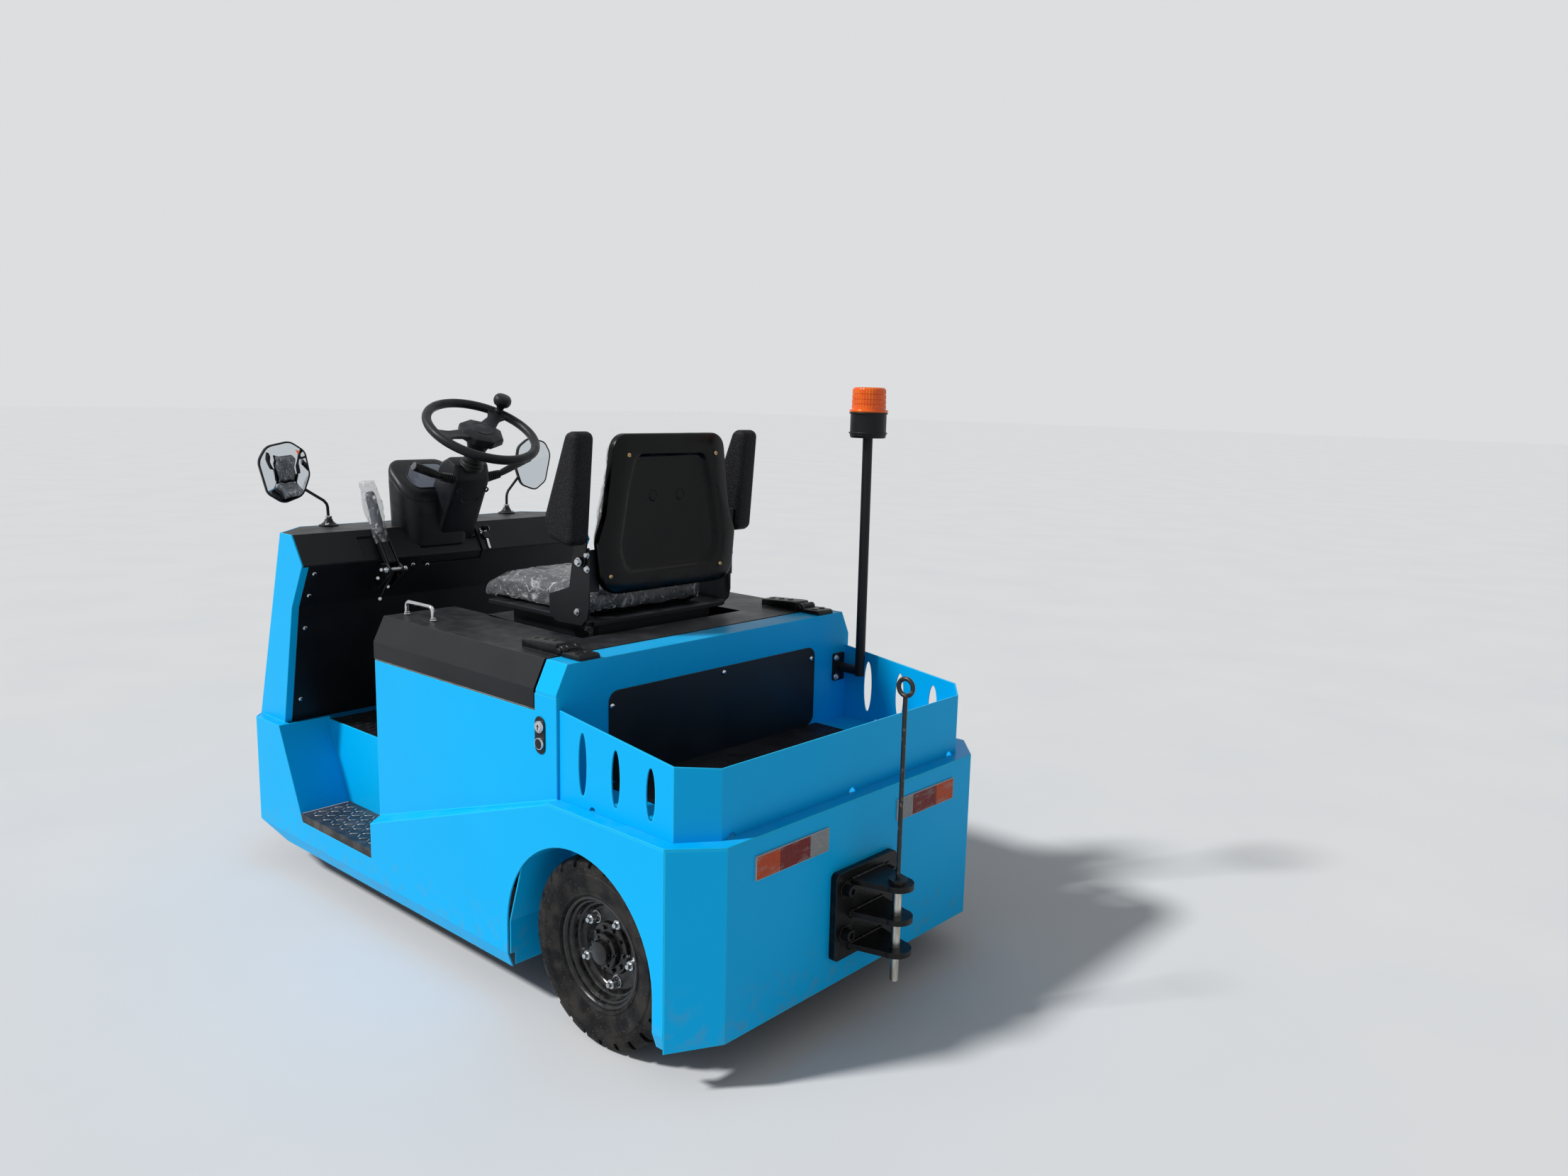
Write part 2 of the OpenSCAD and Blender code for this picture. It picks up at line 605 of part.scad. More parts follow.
// Lamps
module headlamps() color("white") tug() both() nose_face(560, 300) rotate([0, 90, 0])
    translate([0, 0, gap]) cylinder(r1 = 55, r2 = 50, h = 24);
// Places a piece on the nose's leaning face, at height z and half width y
module nose_face(z, y) translate([body_len - nose_rake * (z - front_ledge_z) / (cowl_z - front_ledge_z), y, z])
    rotate([0, -atan(nose_rake / (cowl_z - front_ledge_z)), 0]) children();
lamp_z1 = 420;
lamp_z2 = 471;
module tail_lamps() color("darkred") tug() both() plate_yz(-3, 0) translate([234, (lamp_z1 + lamp_z2) / 2])
    rounded(224, lamp_z2 - lamp_z1, 4);

// Mirrors on thin stems
mirror_y = 305;
mirror_x = 1728;
module mirrors() color(plastic) tug() both() {
    translate([mirror_x, mirror_y, cowl_z]) cylinder(r1 = 26, r2 = 14, h = 16);
    bar([mirror_x, mirror_y, cowl_z + 10], [mirror_x, mirror_y, cowl_z + 80], 8);
    bar([mirror_x, mirror_y, cowl_z + 78], [mirror_x + 12, mirror_y + 90, cowl_z + 140], 8);
    mirror_head() linear_extrude(22, center = true) rounded(130, 170, 45);
}
module mirror_head() translate([mirror_x + 14, mirror_y + 112, cowl_z + 155]) rotate([0, -90, 20])
    rotate([0, 0, 90]) children();

// Push switches that inch the tug from behind, in a round-ended recess plate
module inching_switches() color(plastic) tug() both() {
    plate_xz(panel_half, panel_half + 2) translate([497, 640]) rounded(34, 82, 16);
    for (z = [622, 658]) translate([497, panel_half + 2, z]) rotate([-90, 0, 0]) cylinder(d = 26, h = 7);
}

// Hinge leaves fixed to the bulkhead hoop, with the knuckles' middle part
hinge_y = 395;
hinge_x = hoop_x2 + 3;
hinge_z = hood_top + 11;
module hinge_leaves() color(black) tug() both() {
    difference() {
        union() {
            block([bulk_x + 4, hinge_y - 28, hood_top], [hoop_x2 - 6, hinge_y + 28, hood_top + 8]);
            block([hoop_x2 - 8, hinge_y - 12, hood_top], [hinge_x, hinge_y + 12, hinge_z + 6]);
            translate([hinge_x, hinge_y - 12, hinge_z]) rotate([-90, 0, 0]) cylinder(r = 9, h = 24);
        }
        translate([hinge_x, hinge_y - 30, hinge_z]) rotate([-90, 0, 0]) cylinder(r = 4.05, h = 60);
    }
}

// Hitch: plate, three ears with bored ends
plate_t = 16;
module hitch() color(black) tug() difference() {
    union() {
        plate_yz(-plate_t, 0) translate([0, (164 + 362) / 2]) rounded(2 * hitch_half, 198, 12);
        for (i = [0:2]) translate([0, 0, ear_z - 6 + i * ear_step]) linear_extrude(12) {
            translate([-pin_x, 0]) circle(ear_r);
            polygon([[-plate_t + 1, 58], [-pin_x - 0, ear_r], [-pin_x, -ear_r], [-plate_t + 1, -58]]);
        }
        for (y = [-75, 75], z = [222, 322]) translate([-plate_t, y, z]) rotate([0, -90, 0])
            cylinder(d = 24, h = 16);
    }
    translate([-pin_x, 0, ear_z - 40]) cylinder(d = pin_d + 2 * pin_gap, h = 3 * ear_step + 40);
}
// Tow pin with its collar, thin lifting rod and ring
collar_z = ear_z + 2 * ear_step + 6;
pin_z = 117;
pin_tip = 56;
module tow_pin() color(steel) tug() translate([-pin_x, 0, 0]) {
    translate([0, 0, pin_z]) cylinder(d = pin_d - 1, h = pin_tip);
    translate([0, 0, pin_z + pin_tip]) cylinder(d = pin_d, h = collar_z - pin_z - pin_tip + 8);
    translate([0, 0, collar_z + gap]) cylinder(d = 40, h = 8);
    translate([0, 0, collar_z + 8]) cylinder(d = 10, h = 748 - collar_z - 8);
    translate([0, 0, 770]) rotate([90, 0, 0]) rotate_extrude() translate([18, 0]) circle(5);
}

// Beacon: bracket and elbow on the bulkhead, pole, black base
pole_x = 366;
pole_y = 445;
module beacon_pole() color(black) tug() {
    plate_yz(bulk_x - 6, bulk_x) translate([-pole_y, 652]) rounded(44, 74, 5);
    translate([pole_x, -pole_y, 652]) rotate([0, 90, 0]) cylinder(d = pole_d, h = bulk_x - 6 - pole_x);
    translate([pole_x, -pole_y, 652 - pole_d / 2]) cylinder(d = pole_d, h = beacon_top - 127 - 652 + pole_d / 2);
    translate([pole_x, -pole_y, beacon_top - 128]) cylinder(d1 = 88, d2 = 94, h = 8);
    translate([pole_x, -pole_y, beacon_top - 120]) cylinder(d = 92, h = 57);
}
module beacon_lens() color("orange") tug() translate([pole_x, -pole_y, beacon_top - 63]) {
    cylinder(d = 98, h = 6);
    cylinder(d = lens_d, h = 63);
}

// Hood: a folded lid with a sunken well for the seat, open at the front
hood_t = 3;
function hood_out(g) = [[panel_half - g, hood_z], [panel_half - g, hood_bend_z - g * 0.3],
    [panel_half - hood_lean - g * 0.8, hood_top - g], [-panel_half + hood_lean + g * 0.8, hood_top - g],
    [-panel_half + g, hood_bend_z - g * 0.3], [-panel_half + g, hood_z]];
module hood() color(black) tug() {
    difference() {
        union() {
            plate_yz(hood_x1, hood_x2) difference() {
                polygon(hood_out(0));
                polygon(concat([[panel_half - hood_t, hood_z - 1]], hood_out(hood_t),
                    [[-panel_half + hood_t, hood_z - 1]]));
            }
            // front wall of the lid
            plate_yz(hood_x2 - hood_t, hood_x2) polygon(hood_out(0));
            // block from which the seat well is pressed
            block([well_x1 - hood_t, -well_half - hood_t, hood_top - well_h - hood_t],
                [hood_x2, well_half + hood_t, hood_top - 1]);
        }
        block([well_x1, -well_half, hood_top - well_h], [1010, well_half, hood_top + 1]);
        // the well's sides fan in towards the front edge
        plate_yz(1000, hood_x2 + 1) polygon([[well_half - 8, hood_top + 1], [well_half - 100, hood_top - well_h + 12],
            [-well_half + 100, hood_top - well_h + 12], [-well_half + 8, hood_top + 1]]);
    }
    // straps of the hinges, with the outer parts of the knuckles
    both() difference() {
        union() {
            block([hoop_x2 + 14, hinge_y - 25, hood_top], [648, hinge_y + 25, hood_top + 16]);
            for (s = [-1, 1]) {
                translate([hinge_x, hinge_y + s * 19 - 6, hinge_z]) rotate([-90, 0, 0])
                    cylinder(r = 8, h = 12);
                block([hinge_x, hinge_y + s * 19 - 6, hood_top + 4],
                    [hoop_x2 + 16, hinge_y + s * 19 + 6, hood_top + 16]);
            }
        }
    }
    // hinge pins
    both() translate([hinge_x, hinge_y - 25, hinge_z]) rotate([-90, 0, 0]) cylinder(r = 4, h = 50);
}

// Chromed grab handle on the hood
handle_y = 408;
module grab_handle() color("whitesmoke") tug() {
    for (x = [1030, 1148]) translate([x, handle_y, hood_top]) cylinder(d = 10, h = 34);
    for (x = [1030, 1148]) translate([x, handle_y, hood_top]) cylinder(d = 16, h = 8);
    bar([1026, handle_y, hood_top + 34], [1152, handle_y, hood_top + 34], 10);
}

// Seat: suspension box, pan with side brackets, cushion, back shell, back cushion, armrests
well_z = hood_top - well_h;
// side bracket outline: [length, height]
bracket = [[698, 1000], [646, 1004], [644, 860], [650, 835], [670, 818], [760, 815],
    [790, 830], [792, 880], [760, 890], [715, 905]];
module seat_frame() color(black) tug() {
    // suspension box on its base
    block([680, -150, well_z], [1000, 150, well_z + 20]);
    block([670, -185, well_z + 20], [1010, 185, 818]);
    // pan and side brackets
    block([650, -215, 816], [1076, 215, pan_z]);
    both() plate_xz(232, 238) polygon(bracket);
    both() block([660, 215, 816], [780, 232, pan_z]);
    // flanges that carry the back
    both() block([shell_x + 22 + gap, 208, 900], [shell_x + 28, 238, 1000]);
    // pivot pins of the armrests
    both() translate([arm_x, 236, arm_z]) rotate([-90, 0, 0]) cylinder(r = 6, h = 12);
    both() translate([arm_x, 243, arm_z]) rotate([-90, 0, 0]) cylinder(r = 11, h = 5);
}
pan_z = 826;
module seat_cushion() color("gainsboro") tug() {
    hull() {
        block([684, -205, pan_z + gap], [1120, 205, pan_z + 24]);
        block([720, -190, pan_z + gap], [1080, 190, pan_z + 66]);
        block([690, -190, pan_z + gap], [780, 190, pan_z + 78]);
    }
    // rolled front edge that hangs over the pan
    hull() {
        block([1080, -200, 818], [1150, 200, pan_z + 20]);
        block([1080, -190, pan_z + gap], [1100, 190, pan_z + 50]);
    }
}
// half outline of the back shell: [half width, height]
shell_pts = [[136, shell_z2], [170, shell_z2 - 26], [200, 1085], [shell_half, 1020],
    [shell_half - 10, 915], [172, shell_z1], [0, shell_z1], [0, shell_z2]];
module seat_back_shell() color(black) tug() both() plate_yz(shell_x, shell_x + 22) polygon(shell_pts);
module seat_back_cushion() color(plastic) tug() hull() {
    plate_yz(shell_x + 22, shell_x + 60) polygon([[-130, 1272], [130, 1272], [195, 1080], [205, 1010],
        [190, 906], [-190, 906], [-205, 1010], [-195, 1080]]);
    plate_yz(shell_x + 22, shell_x + 90) polygon([[-110, 1200], [110, 1200], [160, 1080], [170, 1010],
        [150, 920], [-150, 920], [-170, 1010], [-160, 1080]]);
}
// Armrest, folded up: a foam pad on a pivot bolt
arm_x = 667;
module armrest() {
    hull() {
        // ends of the pad: [length, height, radius]
        for (e = [[628, 1251, 20], [638, 1036, 12], [706, 1064, 14]])
            translate([e[0], 244, e[1]]) rotate([-90, 0, 0]) cylinder(r = e[2], h = 54, $fn = 32);
    }
    difference() {
        plate_xz(238.3, 244) polygon([[arm_x - 14, arm_z - 14], [arm_x + 14, arm_z - 14], [700, 1040],
            [700, 1070], [640, 1070], [arm_x - 20, arm_z + 20]]);
        translate([arm_x, 230, arm_z]) rotate([-90, 0, 0]) cylinder(r = 6.05, h = 20);
        translate([arm_x, 242.7, arm_z]) rotate([-90, 0, 0]) cylinder(r = 12, h = 20);
    }
}
module armrest_left() color(plastic) tug() armrest();
module armrest_right() color(plastic) tug() mirror([0, 1, 0]) armrest();

// Steering wheel: rim, two wide spokes, hub and the spinner knob
knob_a = -50;
module steering_wheel() color(plastic) tug() on_column() {
    rotate_extrude() translate([steer_r, 0]) circle(d = steer_rim, $fn = 24);
    translate([0, 0, -72]) cylinder(r1 = 24, r2 = 40, h = 50);
    translate([0, 0, -24]) cylinder(r1 = 46, r2 = 38, h = 34);
    translate([0, 0, -170]) cylinder(r = shaft_r, h = 140);
    for (a = [knob_a, 97]) rotate(a) translate([30, -18, -12]) cube([steer_r - 34, 36, 9]);
    rotate(knob_a) translate([steer_r - 4, 0, 0]) {
        cylinder(d = 20, h = 24);
        translate([0, 0, 24]) cylinder(d = 40, h = 36);
    }
}

// Fork that carries the front wheel below its kingpin
fork_in = front_w / 2 + 14;
module fork() color(black) tug() translate([fork_x, 0, 0]) {
    translate([0, 0, 2 * front_r + 14]) cylinder(r = head_r, h = head_z2 - 2 * front_r - 14 + 16);
    block([-50, -fork_in - cheek_t, 2 * front_r + 8], [50, fork_in + cheek_t, 2 * front_r + 22]);
    both() difference() {
        block([-45, fork_in, front_r - 45], [45, fork_in + cheek_t, 2 * front_r + 10]);
        translate([0, fork_in - 1, front_r]) rotate([-90, 0, 0]) cylinder(r = 12, h = cheek_t + 2);
    }
    translate([0, -fork_in - cheek_t, front_r]) rotate([-90, 0, 0])
        cylinder(r = 12, h = 2 * (fork_in + cheek_t));
}

// Half section of a tyre of radius r, half width b, on a rim of radius q
function half_section(r, b, q) = [[q, b * 0.6 - gap], [q + 7, b * 0.6 - gap], [q + 8, b * 0.8],
    [q + 18, b * 0.94], [q + (r - q) * 0.5, b * 0.99], [r - 26, b], [r - 10, b * 0.9], [r - 3, b * 0.74],
    [r, b * 0.5]];
function tyre_section(r, b, q) = let(h = half_section(r, b, q)) concat(h,
    [for (i = [len(h) - 1:-1:0]) [h[i][0], -h[i][1]]]);
// Rim as a revolved section, with a dished disc and hub
module rim_turned(q, b, dish, bore) rotate_extrude() polygon([[bore, dish], [bore, dish - 8],
    [q - 34, dish - 8], [q - 24, -b * 0.7], [q + 6, -b * 0.72], [q + 6, -b * 0.62], [q - gap, -b * 0.6],
    [q - gap, b * 0.6], [q + 6, b * 0.62], [q + 6, b * 0.72], [q - 16, b * 0.7], [q - 26, dish]]);

module front_tyre() color(rubber) tug() translate([fork_x, 0, front_r]) rotate([90, 0, 0])
    rotate_extrude() polygon(tyre_section(front_r, front_w / 2, 108));
module front_rim() color(black) tug() translate([fork_x, 0, front_r]) rotate([90, 0, 0]) difference() {
    union() {
        rim_turned(108, front_w / 2, 20, 20);
        translate([0, 0, -fork_in + 2]) cylinder(r = 26, h = 2 * fork_in - 4);
    }
    translate([0, 0, -fork_in]) cylinder(r = 12.1, h = 2 * fork_in);
}

// Rear wheel pieces, built with the axis along z and the outer side up
module rear_rim() {
    difference() {
        union() {
            rim_turned(rim_r - 6, tyre_w / 2, 12, 40);
            translate([0, 0, -28]) cylinder(r = 58, h = 44);
            translate([0, 0, 16]) cylinder(r = 34, h = 30);
            for (i = [0:nuts - 1]) rotate(i * 360 / nuts + 28) translate([nut_pcr, 0, 8])
                cylinder(d = 22, h = 22, $fn = 6);
            for (i = [0:7]) rotate(i * 45) translate([44, 0, 16]) cylinder(d = 9, h = 8);
        }
        translate([0, 0, -40]) cylinder(r = 30.1, h = 42);
    }
}
module rear_tyre() {
    r = tyre_r - lug_h;
    b = tyre_w / 2;
    difference() {
        rotate_extrude() polygon(tyre_section(tyre_r, b, rim_r - 6));
        for (i = [0:lugs - 1], s = [-1, 1]) rotate(i * 360 / lugs + (s + 1) * 90 / lugs)
            translate([r, -5, s * b - (s + 1) * b / 3 - (1 - s) * 0]) cube([30, 10, b * 2 / 3]);
    }
}
module on_left() translate([axle_x, tyre_y, tyre_r]) rotate([-90, 0, 0]) children();
module rear_rim_left() color(black) tug() on_left() rear_rim();
module rear_rim_right() color(black) tug() mirror([0, 1, 0]) on_left() rear_rim();
module rear_tyre_left() color(rubber) tug() on_left() rear_tyre();
module rear_tyre_right() color(rubber) tug() mirror([0, 1, 0]) on_left() rear_tyre();

chassis_frame();
rear_axle();
battery_box();
body_sides();
rear_skirt();
nose_shell();
tray_deck();
tray_walls();
tray_mat();
bulkhead();
bulkhead_cover();
wheel_boxes();
floor_plate();
step_treads();
knee_panel();
cowl_top();
steering_column();
instrument_pod();
brake_lever();
pedals();
headlamps();
tail_lamps();
mirrors();
inching_switches();
hinge_leaves();
hitch();
beacon_pole();
beacon_lens();
hood();
grab_handle();
seat_frame();
seat_cushion();
seat_back_shell();
seat_back_cushion();
armrest_left();
armrest_right();
steering_wheel();
fork();
front_rim();
front_tyre();
rear_rim_left();
rear_rim_right();
rear_tyre_left();
rear_tyre_right();
tow_pin();
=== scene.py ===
# A three-wheel electric baggage tug: its finishes, and the pieces modelled round its CAD solids.
import math
import random

import bmesh
import bpy
from mathutils import Matrix, Vector, noise


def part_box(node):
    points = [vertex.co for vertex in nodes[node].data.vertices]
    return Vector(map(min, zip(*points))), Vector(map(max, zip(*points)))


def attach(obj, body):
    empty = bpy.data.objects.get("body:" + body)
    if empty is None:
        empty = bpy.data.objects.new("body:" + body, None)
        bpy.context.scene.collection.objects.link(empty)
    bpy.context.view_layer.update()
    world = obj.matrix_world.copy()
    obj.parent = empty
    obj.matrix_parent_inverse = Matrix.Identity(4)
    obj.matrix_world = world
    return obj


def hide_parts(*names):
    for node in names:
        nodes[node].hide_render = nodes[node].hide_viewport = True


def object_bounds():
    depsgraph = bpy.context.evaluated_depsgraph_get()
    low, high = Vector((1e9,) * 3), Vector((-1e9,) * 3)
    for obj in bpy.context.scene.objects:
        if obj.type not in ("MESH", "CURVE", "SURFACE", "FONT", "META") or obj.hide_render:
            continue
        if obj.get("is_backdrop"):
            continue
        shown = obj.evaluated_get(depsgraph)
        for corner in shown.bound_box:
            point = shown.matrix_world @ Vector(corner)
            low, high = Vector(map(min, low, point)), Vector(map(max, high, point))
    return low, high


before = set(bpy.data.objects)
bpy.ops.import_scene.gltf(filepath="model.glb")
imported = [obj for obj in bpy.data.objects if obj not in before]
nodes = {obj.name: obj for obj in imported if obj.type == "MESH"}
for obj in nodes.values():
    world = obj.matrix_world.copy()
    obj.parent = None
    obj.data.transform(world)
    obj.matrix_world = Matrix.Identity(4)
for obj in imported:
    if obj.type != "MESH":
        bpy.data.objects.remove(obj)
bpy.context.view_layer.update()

# The studio is a pale floor that runs out to a pale surround. A far lamp stands high ahead of
# the tug's left side, as the sun does, and the camera is where the photograph was taken.
scene = bpy.context.scene
scene.view_settings.view_transform = "Standard"


def linear(red, green, blue):
    """A screen colour of 0 to 255 a channel, as the shaders take it."""
    return tuple((c / 255) ** 2.2 for c in (red, green, blue)) + (1.0,)


class Finish:
    """One finish: a shader whose plain sockets are set at once, and the nodes that vary it."""

    def __init__(self, name, colour, roughness, **sockets):
        self.material = bpy.data.materials.new(name)
        self.material.use_nodes = True
        self.tree = self.material.node_tree
        self.shader = self.tree.nodes["Principled BSDF"]
        self.colour = linear(*colour)
        self.roughness = roughness
        self.metal = sockets.get("Metallic", 0.0)
        self.normal = None
        self.shader.inputs["Base Color"].default_value = self.colour
        self.shader.inputs["Roughness"].default_value = roughness
        for socket, value in sockets.items():
            self.shader.inputs[socket.replace("_", " ")].default_value = value
        place = self.add("TexCoord")
        self.place, self.facing = place.outputs["Object"], place.outputs["Normal"]

    def add(self, kind, inputs=(), **settings):
        """Adds a node. inputs gives each socket a value or another node's output."""
        node = self.tree.nodes.new("ShaderNode" + kind)
        for key, value in settings.items():
            setattr(node, key, value)
        for key, value in dict(inputs).items():
            if isinstance(value, bpy.types.NodeSocket):
                self.tree.links.new(value, node.inputs[key])
            else:
                node.inputs[key].default_value = value
        return node

    def band(self, value, low, high):
        """0 where value is low, 1 where it is high, and even between them."""
        return self.add("MapRange", {"Value": value, "From Min": low, "From Max": high}).outputs[0]

    def times(self, first, second):
        """One share reduced by another."""
        return self.add("Math", {0: first, 1: second}, operation="MULTIPLY").outputs[0]

    def scaled(self, size, stretch=(1, 1, 1)):
        """The place on the object, in units of size metres."""
        return self.add("Mapping", {"Vector": self.place, "Scale": [s / size for s in stretch]}).outputs[0]

    def cloud(self, size, low=0.4, high=0.6, stretch=(1, 1, 1), detail=4):
        """Uneven patches about size metres across."""
        made = self.add("TexNoise", {"Vector": self.scaled(size, stretch), "Scale": 1, "Detail": detail})
        return self.band(made.outputs[0], low, high)

    def cells(self, size, low, high):
        """Round cells about size metres across."""
        made = self.add("TexVoronoi", {"Vector": self.scaled(size), "Scale": 1}, feature="F1")
        return self.band(made.outputs[0], low, high)

    def height(self, low, high):
        """0 at the height low, 1 at the height high."""
        return self.band(self.add("SeparateXYZ", {0: self.place}).outputs[2], low, high)

    def upward(self, low=0.6, high=0.95):
        """1 on faces that look up: where dust settles, and where a painted top light goes."""
        return self.band(self.add("SeparateXYZ", {0: self.facing}).outputs[2], low, high)

    def edges(self, radius):
        """1 on sharp edges: where paint wears, and where a painted highlight goes."""
        soft = self.add("Bevel", {"Radius": radius}, samples=4).outputs[0]
        sharp = self.add("NewGeometry").outputs["Normal"]
        same = self.add("VectorMath", {0: soft, 1: sharp}, operation="DOT_PRODUCT").outputs["Value"]
        return self.band(same, 0.985, 0.9)

    def tint(self, share, colour):
        """Mixes a colour in, by share."""
        mixed = self.add("Mix", {0: share, 6: self.colour, 7: linear(*colour)}, data_type="RGBA")
        self.colour = mixed.outputs[2]
        self.tree.links.new(self.colour, self.shader.inputs["Base Color"])

    def polish(self, share, roughness):
        """Changes the roughness, by share."""
        mixed = self.add("MapRange", {"Value": share, "To Min": self.roughness, "To Max": roughness})
        self.roughness = mixed.outputs[0]
        self.tree.links.new(self.roughness, self.shader.inputs["Roughness"])

    def plate_over(self, share, metal):
        """Changes how metallic the surface is, by share."""
        mixed = self.add("MapRange", {"Value": share, "To Min": self.metal, "To Max": metal})
        self.metal = mixed.outputs[0]
        self.tree.links.new(self.metal, self.shader.inputs["Metallic"])

    def see_through(self, share, least, most):
        """Lets light through: what covers goes from least to most, by share."""
        mixed = self.add("MapRange", {"Value": share, "To Min": least, "To Max": most})
        self.tree.links.new(mixed.outputs[0], self.shader.inputs["Alpha"])

    def bend(self, normal):
        """Turns the shading to a new normal, on which later relief builds."""
        self.normal = normal
        self.tree.links.new(normal, self.shader.inputs["Normal"])

    def soften(self, radius):
        """Rounds folds and edges by radius, in the shading."""
        self.bend(self.add("Bevel", {"Radius": radius}, samples=6).outputs[0])

    def relief(self, share, depth):
        """Raises the surface by depth metres where share is 1."""
        inputs = {"Height": share, "Distance": depth, "Strength": 1.0}
        if self.normal:
            inputs["Normal"] = self.normal
        self.bend(self.add("Bump", inputs).outputs[0])

    def grain(self, size, depth):
        """Fine unevenness, with grains about size metres across."""
        self.relief(self.cloud(size, 0.35, 0.7), depth)

    def patches(self, size, low, high, share, colour):
        """Patches of a colour about size metres across, mixed in by share."""
        self.tint(self.times(self.cloud(size, low, high), share), colour)


floor_reach = 60.0
ground = Finish("studio_floor", (212, 214, 216), 0.85, Specular_IOR_Level=0.2)
ground.tint(ground.cloud(0.6, 0.3, 0.7), (216, 217, 218))
floor_mesh = bpy.data.meshes.new("floor")
floor_mesh.from_pydata([(x, y, 0) for x, y in ((-1, -1), (1, -1), (1, 1), (-1, 1))], [], [(0, 1, 2, 3)])
floor_mesh.transform(Matrix.Scale(floor_reach, 4))
floor_mesh.materials.append(ground.material)
floor = bpy.data.objects.new("floor", floor_mesh)
scene.collection.objects.link(floor)
floor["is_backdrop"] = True

surround_light, surround_seen = 0.31, 0.74
surround = bpy.data.worlds.new("surround")
surround.use_nodes = True
sky = surround.node_tree
seen = sky.nodes.new("ShaderNodeLightPath")
either = [sky.nodes.new("ShaderNodeMath") for _ in range(2)]
for step, ray in zip(either, ("Is Glossy Ray", "Is Transmission Ray")):
    step.operation = "MAXIMUM"
    sky.links.new(seen.outputs[ray], step.inputs[1])
sky.links.new(seen.outputs["Is Camera Ray"], either[0].inputs[0])
sky.links.new(either[0].outputs[0], either[1].inputs[0])
level = sky.nodes.new("ShaderNodeMapRange")
level.inputs["To Min"].default_value = surround_light
level.inputs["To Max"].default_value = surround_seen
sky.links.new(either[1].outputs[0], level.inputs["Value"])
sky.nodes["Background"].inputs["Color"].default_value = (0.97, 0.985, 1.0, 1.0)
sky.links.new(level.outputs[0], sky.nodes["Background"].inputs["Strength"])
scene.world = surround

sun_from = Vector((0.45, 0.75, 0.85))
key_lamp = bpy.data.lights.new("key_lamp", "SUN")
key_lamp.angle = math.radians(7)
key_lamp.energy = 3.15
key_place = bpy.data.objects.new("key_lamp", key_lamp)
key_place.rotation_mode = "QUATERNION"
key_place.rotation_quaternion = sun_from.to_track_quat("Z", "Y")
scene.collection.objects.link(key_place)

eye = Vector((-2.377, 1.966, 1.366))
yaw, dip, roll = (math.radians(a) for a in (-48.64, 9.32, 1.37))
ahead = Vector((math.cos(yaw) * math.cos(dip), math.sin(yaw) * math.cos(dip), -math.sin(dip)))
right = Vector((math.sin(yaw), -math.cos(yaw), 0))
above = right.cross(ahead)
rolled = Matrix.Rotation(-roll, 3, ahead)
camera = bpy.data.objects.new("camera", bpy.data.cameras.new("camera"))
camera.data.lens = 27.05
camera.data.sensor_width = 36.0
camera.matrix_world = Matrix.Translation(eye) @ Matrix(
    (rolled @ right, rolled @ above, -ahead)).transposed().to_4x4()
scene.collection.objects.link(camera)
scene.camera = camera

# The body is folded and welded sheet steel under a glossy cyan enamel: skirts, step recesses,
# pillars, nose, ledge, tray walls and the hoop behind the hood. Its folds are soft, with a painted
# highlight of paler cyan along them, and a little dust lies on the ledges and along the lower edge.
enamel = Finish("cyan_enamel", (0, 176, 240), 0.34, Specular_IOR_Level=0.1)
enamel.soften(0.0035)
enamel.relief(enamel.cloud(0.003, 0.3, 0.7), 0.00003)
enamel.relief(enamel.cloud(0.25, 0.3, 0.7, detail=1), 0.0006)
enamel.patches(0.5, 0.35, 0.65, 0.35, (0, 167, 232))
dust = enamel.times(enamel.upward(), enamel.cloud(0.06, 0.42, 0.62))
enamel.tint(enamel.times(dust, 0.07), (120, 180, 206))
splashes = enamel.times(enamel.height(0.24, 0.09), enamel.cloud(0.03, 0.5, 0.72))
enamel.tint(enamel.times(splashes, 0.35), (112, 128, 134))
enamel.patches(0.004, 0.76, 0.79, 0.4, (150, 196, 222))
# painted highlight: a bright cyan tint along the folds and edges, where light would catch them
enamel.tint(enamel.times(enamel.edges(0.0045), 0.6), (50, 214, 255))
enamel.polish(enamel.cloud(0.12, 0.35, 0.75), 0.4)


def dress(finish, *names):
    """Gives CAD nodes a finish in place of their plain colour."""
    for name in names:
        mesh = nodes[name].data
        if not mesh.materials:
            mesh.materials.append(None)
        for place in nodes[name].material_slots:
            place.material = finish.material


dress(enamel, "body_sides", "rear_skirt", "nose_shell", "tray_deck", "tray_walls", "bulkhead",
      "wheel_boxes")

# The hood, cowl, knee panel and bulkhead cover are folded sheet steel with a satin black powder
# coat, finely pebbled, a little paler where dust has settled, and paler along its folds with wear
# and a painted highlight.
powder = Finish("black_powder", (17, 19, 23), 0.4, Specular_IOR_Level=0.25)
powder.soften(0.0022)
powder.relief(powder.cloud(0.0016, 0.3, 0.7), 0.00006)
powder.tint(powder.cloud(0.3, 0.35, 0.7), (25, 27, 31))
settled = powder.times(powder.upward(), powder.cloud(0.04, 0.4, 0.65))
powder.tint(powder.times(settled, 0.08), (120, 122, 126))
# paler along the folds: partly wear, partly a painted highlight
powder.tint(powder.times(powder.edges(0.0016), 0.2), (120, 126, 132))
powder.polish(powder.cloud(0.09, 0.35, 0.7), 0.52)
dress(powder, "hood", "knee_panel", "cowl_top", "bulkhead_cover", "seat_frame", "hinge_leaves",
      "beacon_pole")

# What carries the tug from below is welded box section and plate, brushed with a dull black
# primer that has taken road dust. The fork, the axle and its motor are painted with it too.
primer = Finish("black_primer", (24, 24, 25), 0.62, Specular_IOR_Level=0.25)
primer.soften(0.003)
primer.grain(0.004, 0.00025)
primer.patches(0.05, 0.45, 0.7, 0.5, (70, 66, 60))
primer.tint(primer.times(primer.upward(), 0.25), (110, 106, 98))
dress(primer, "chassis_frame", "rear_axle", "fork")

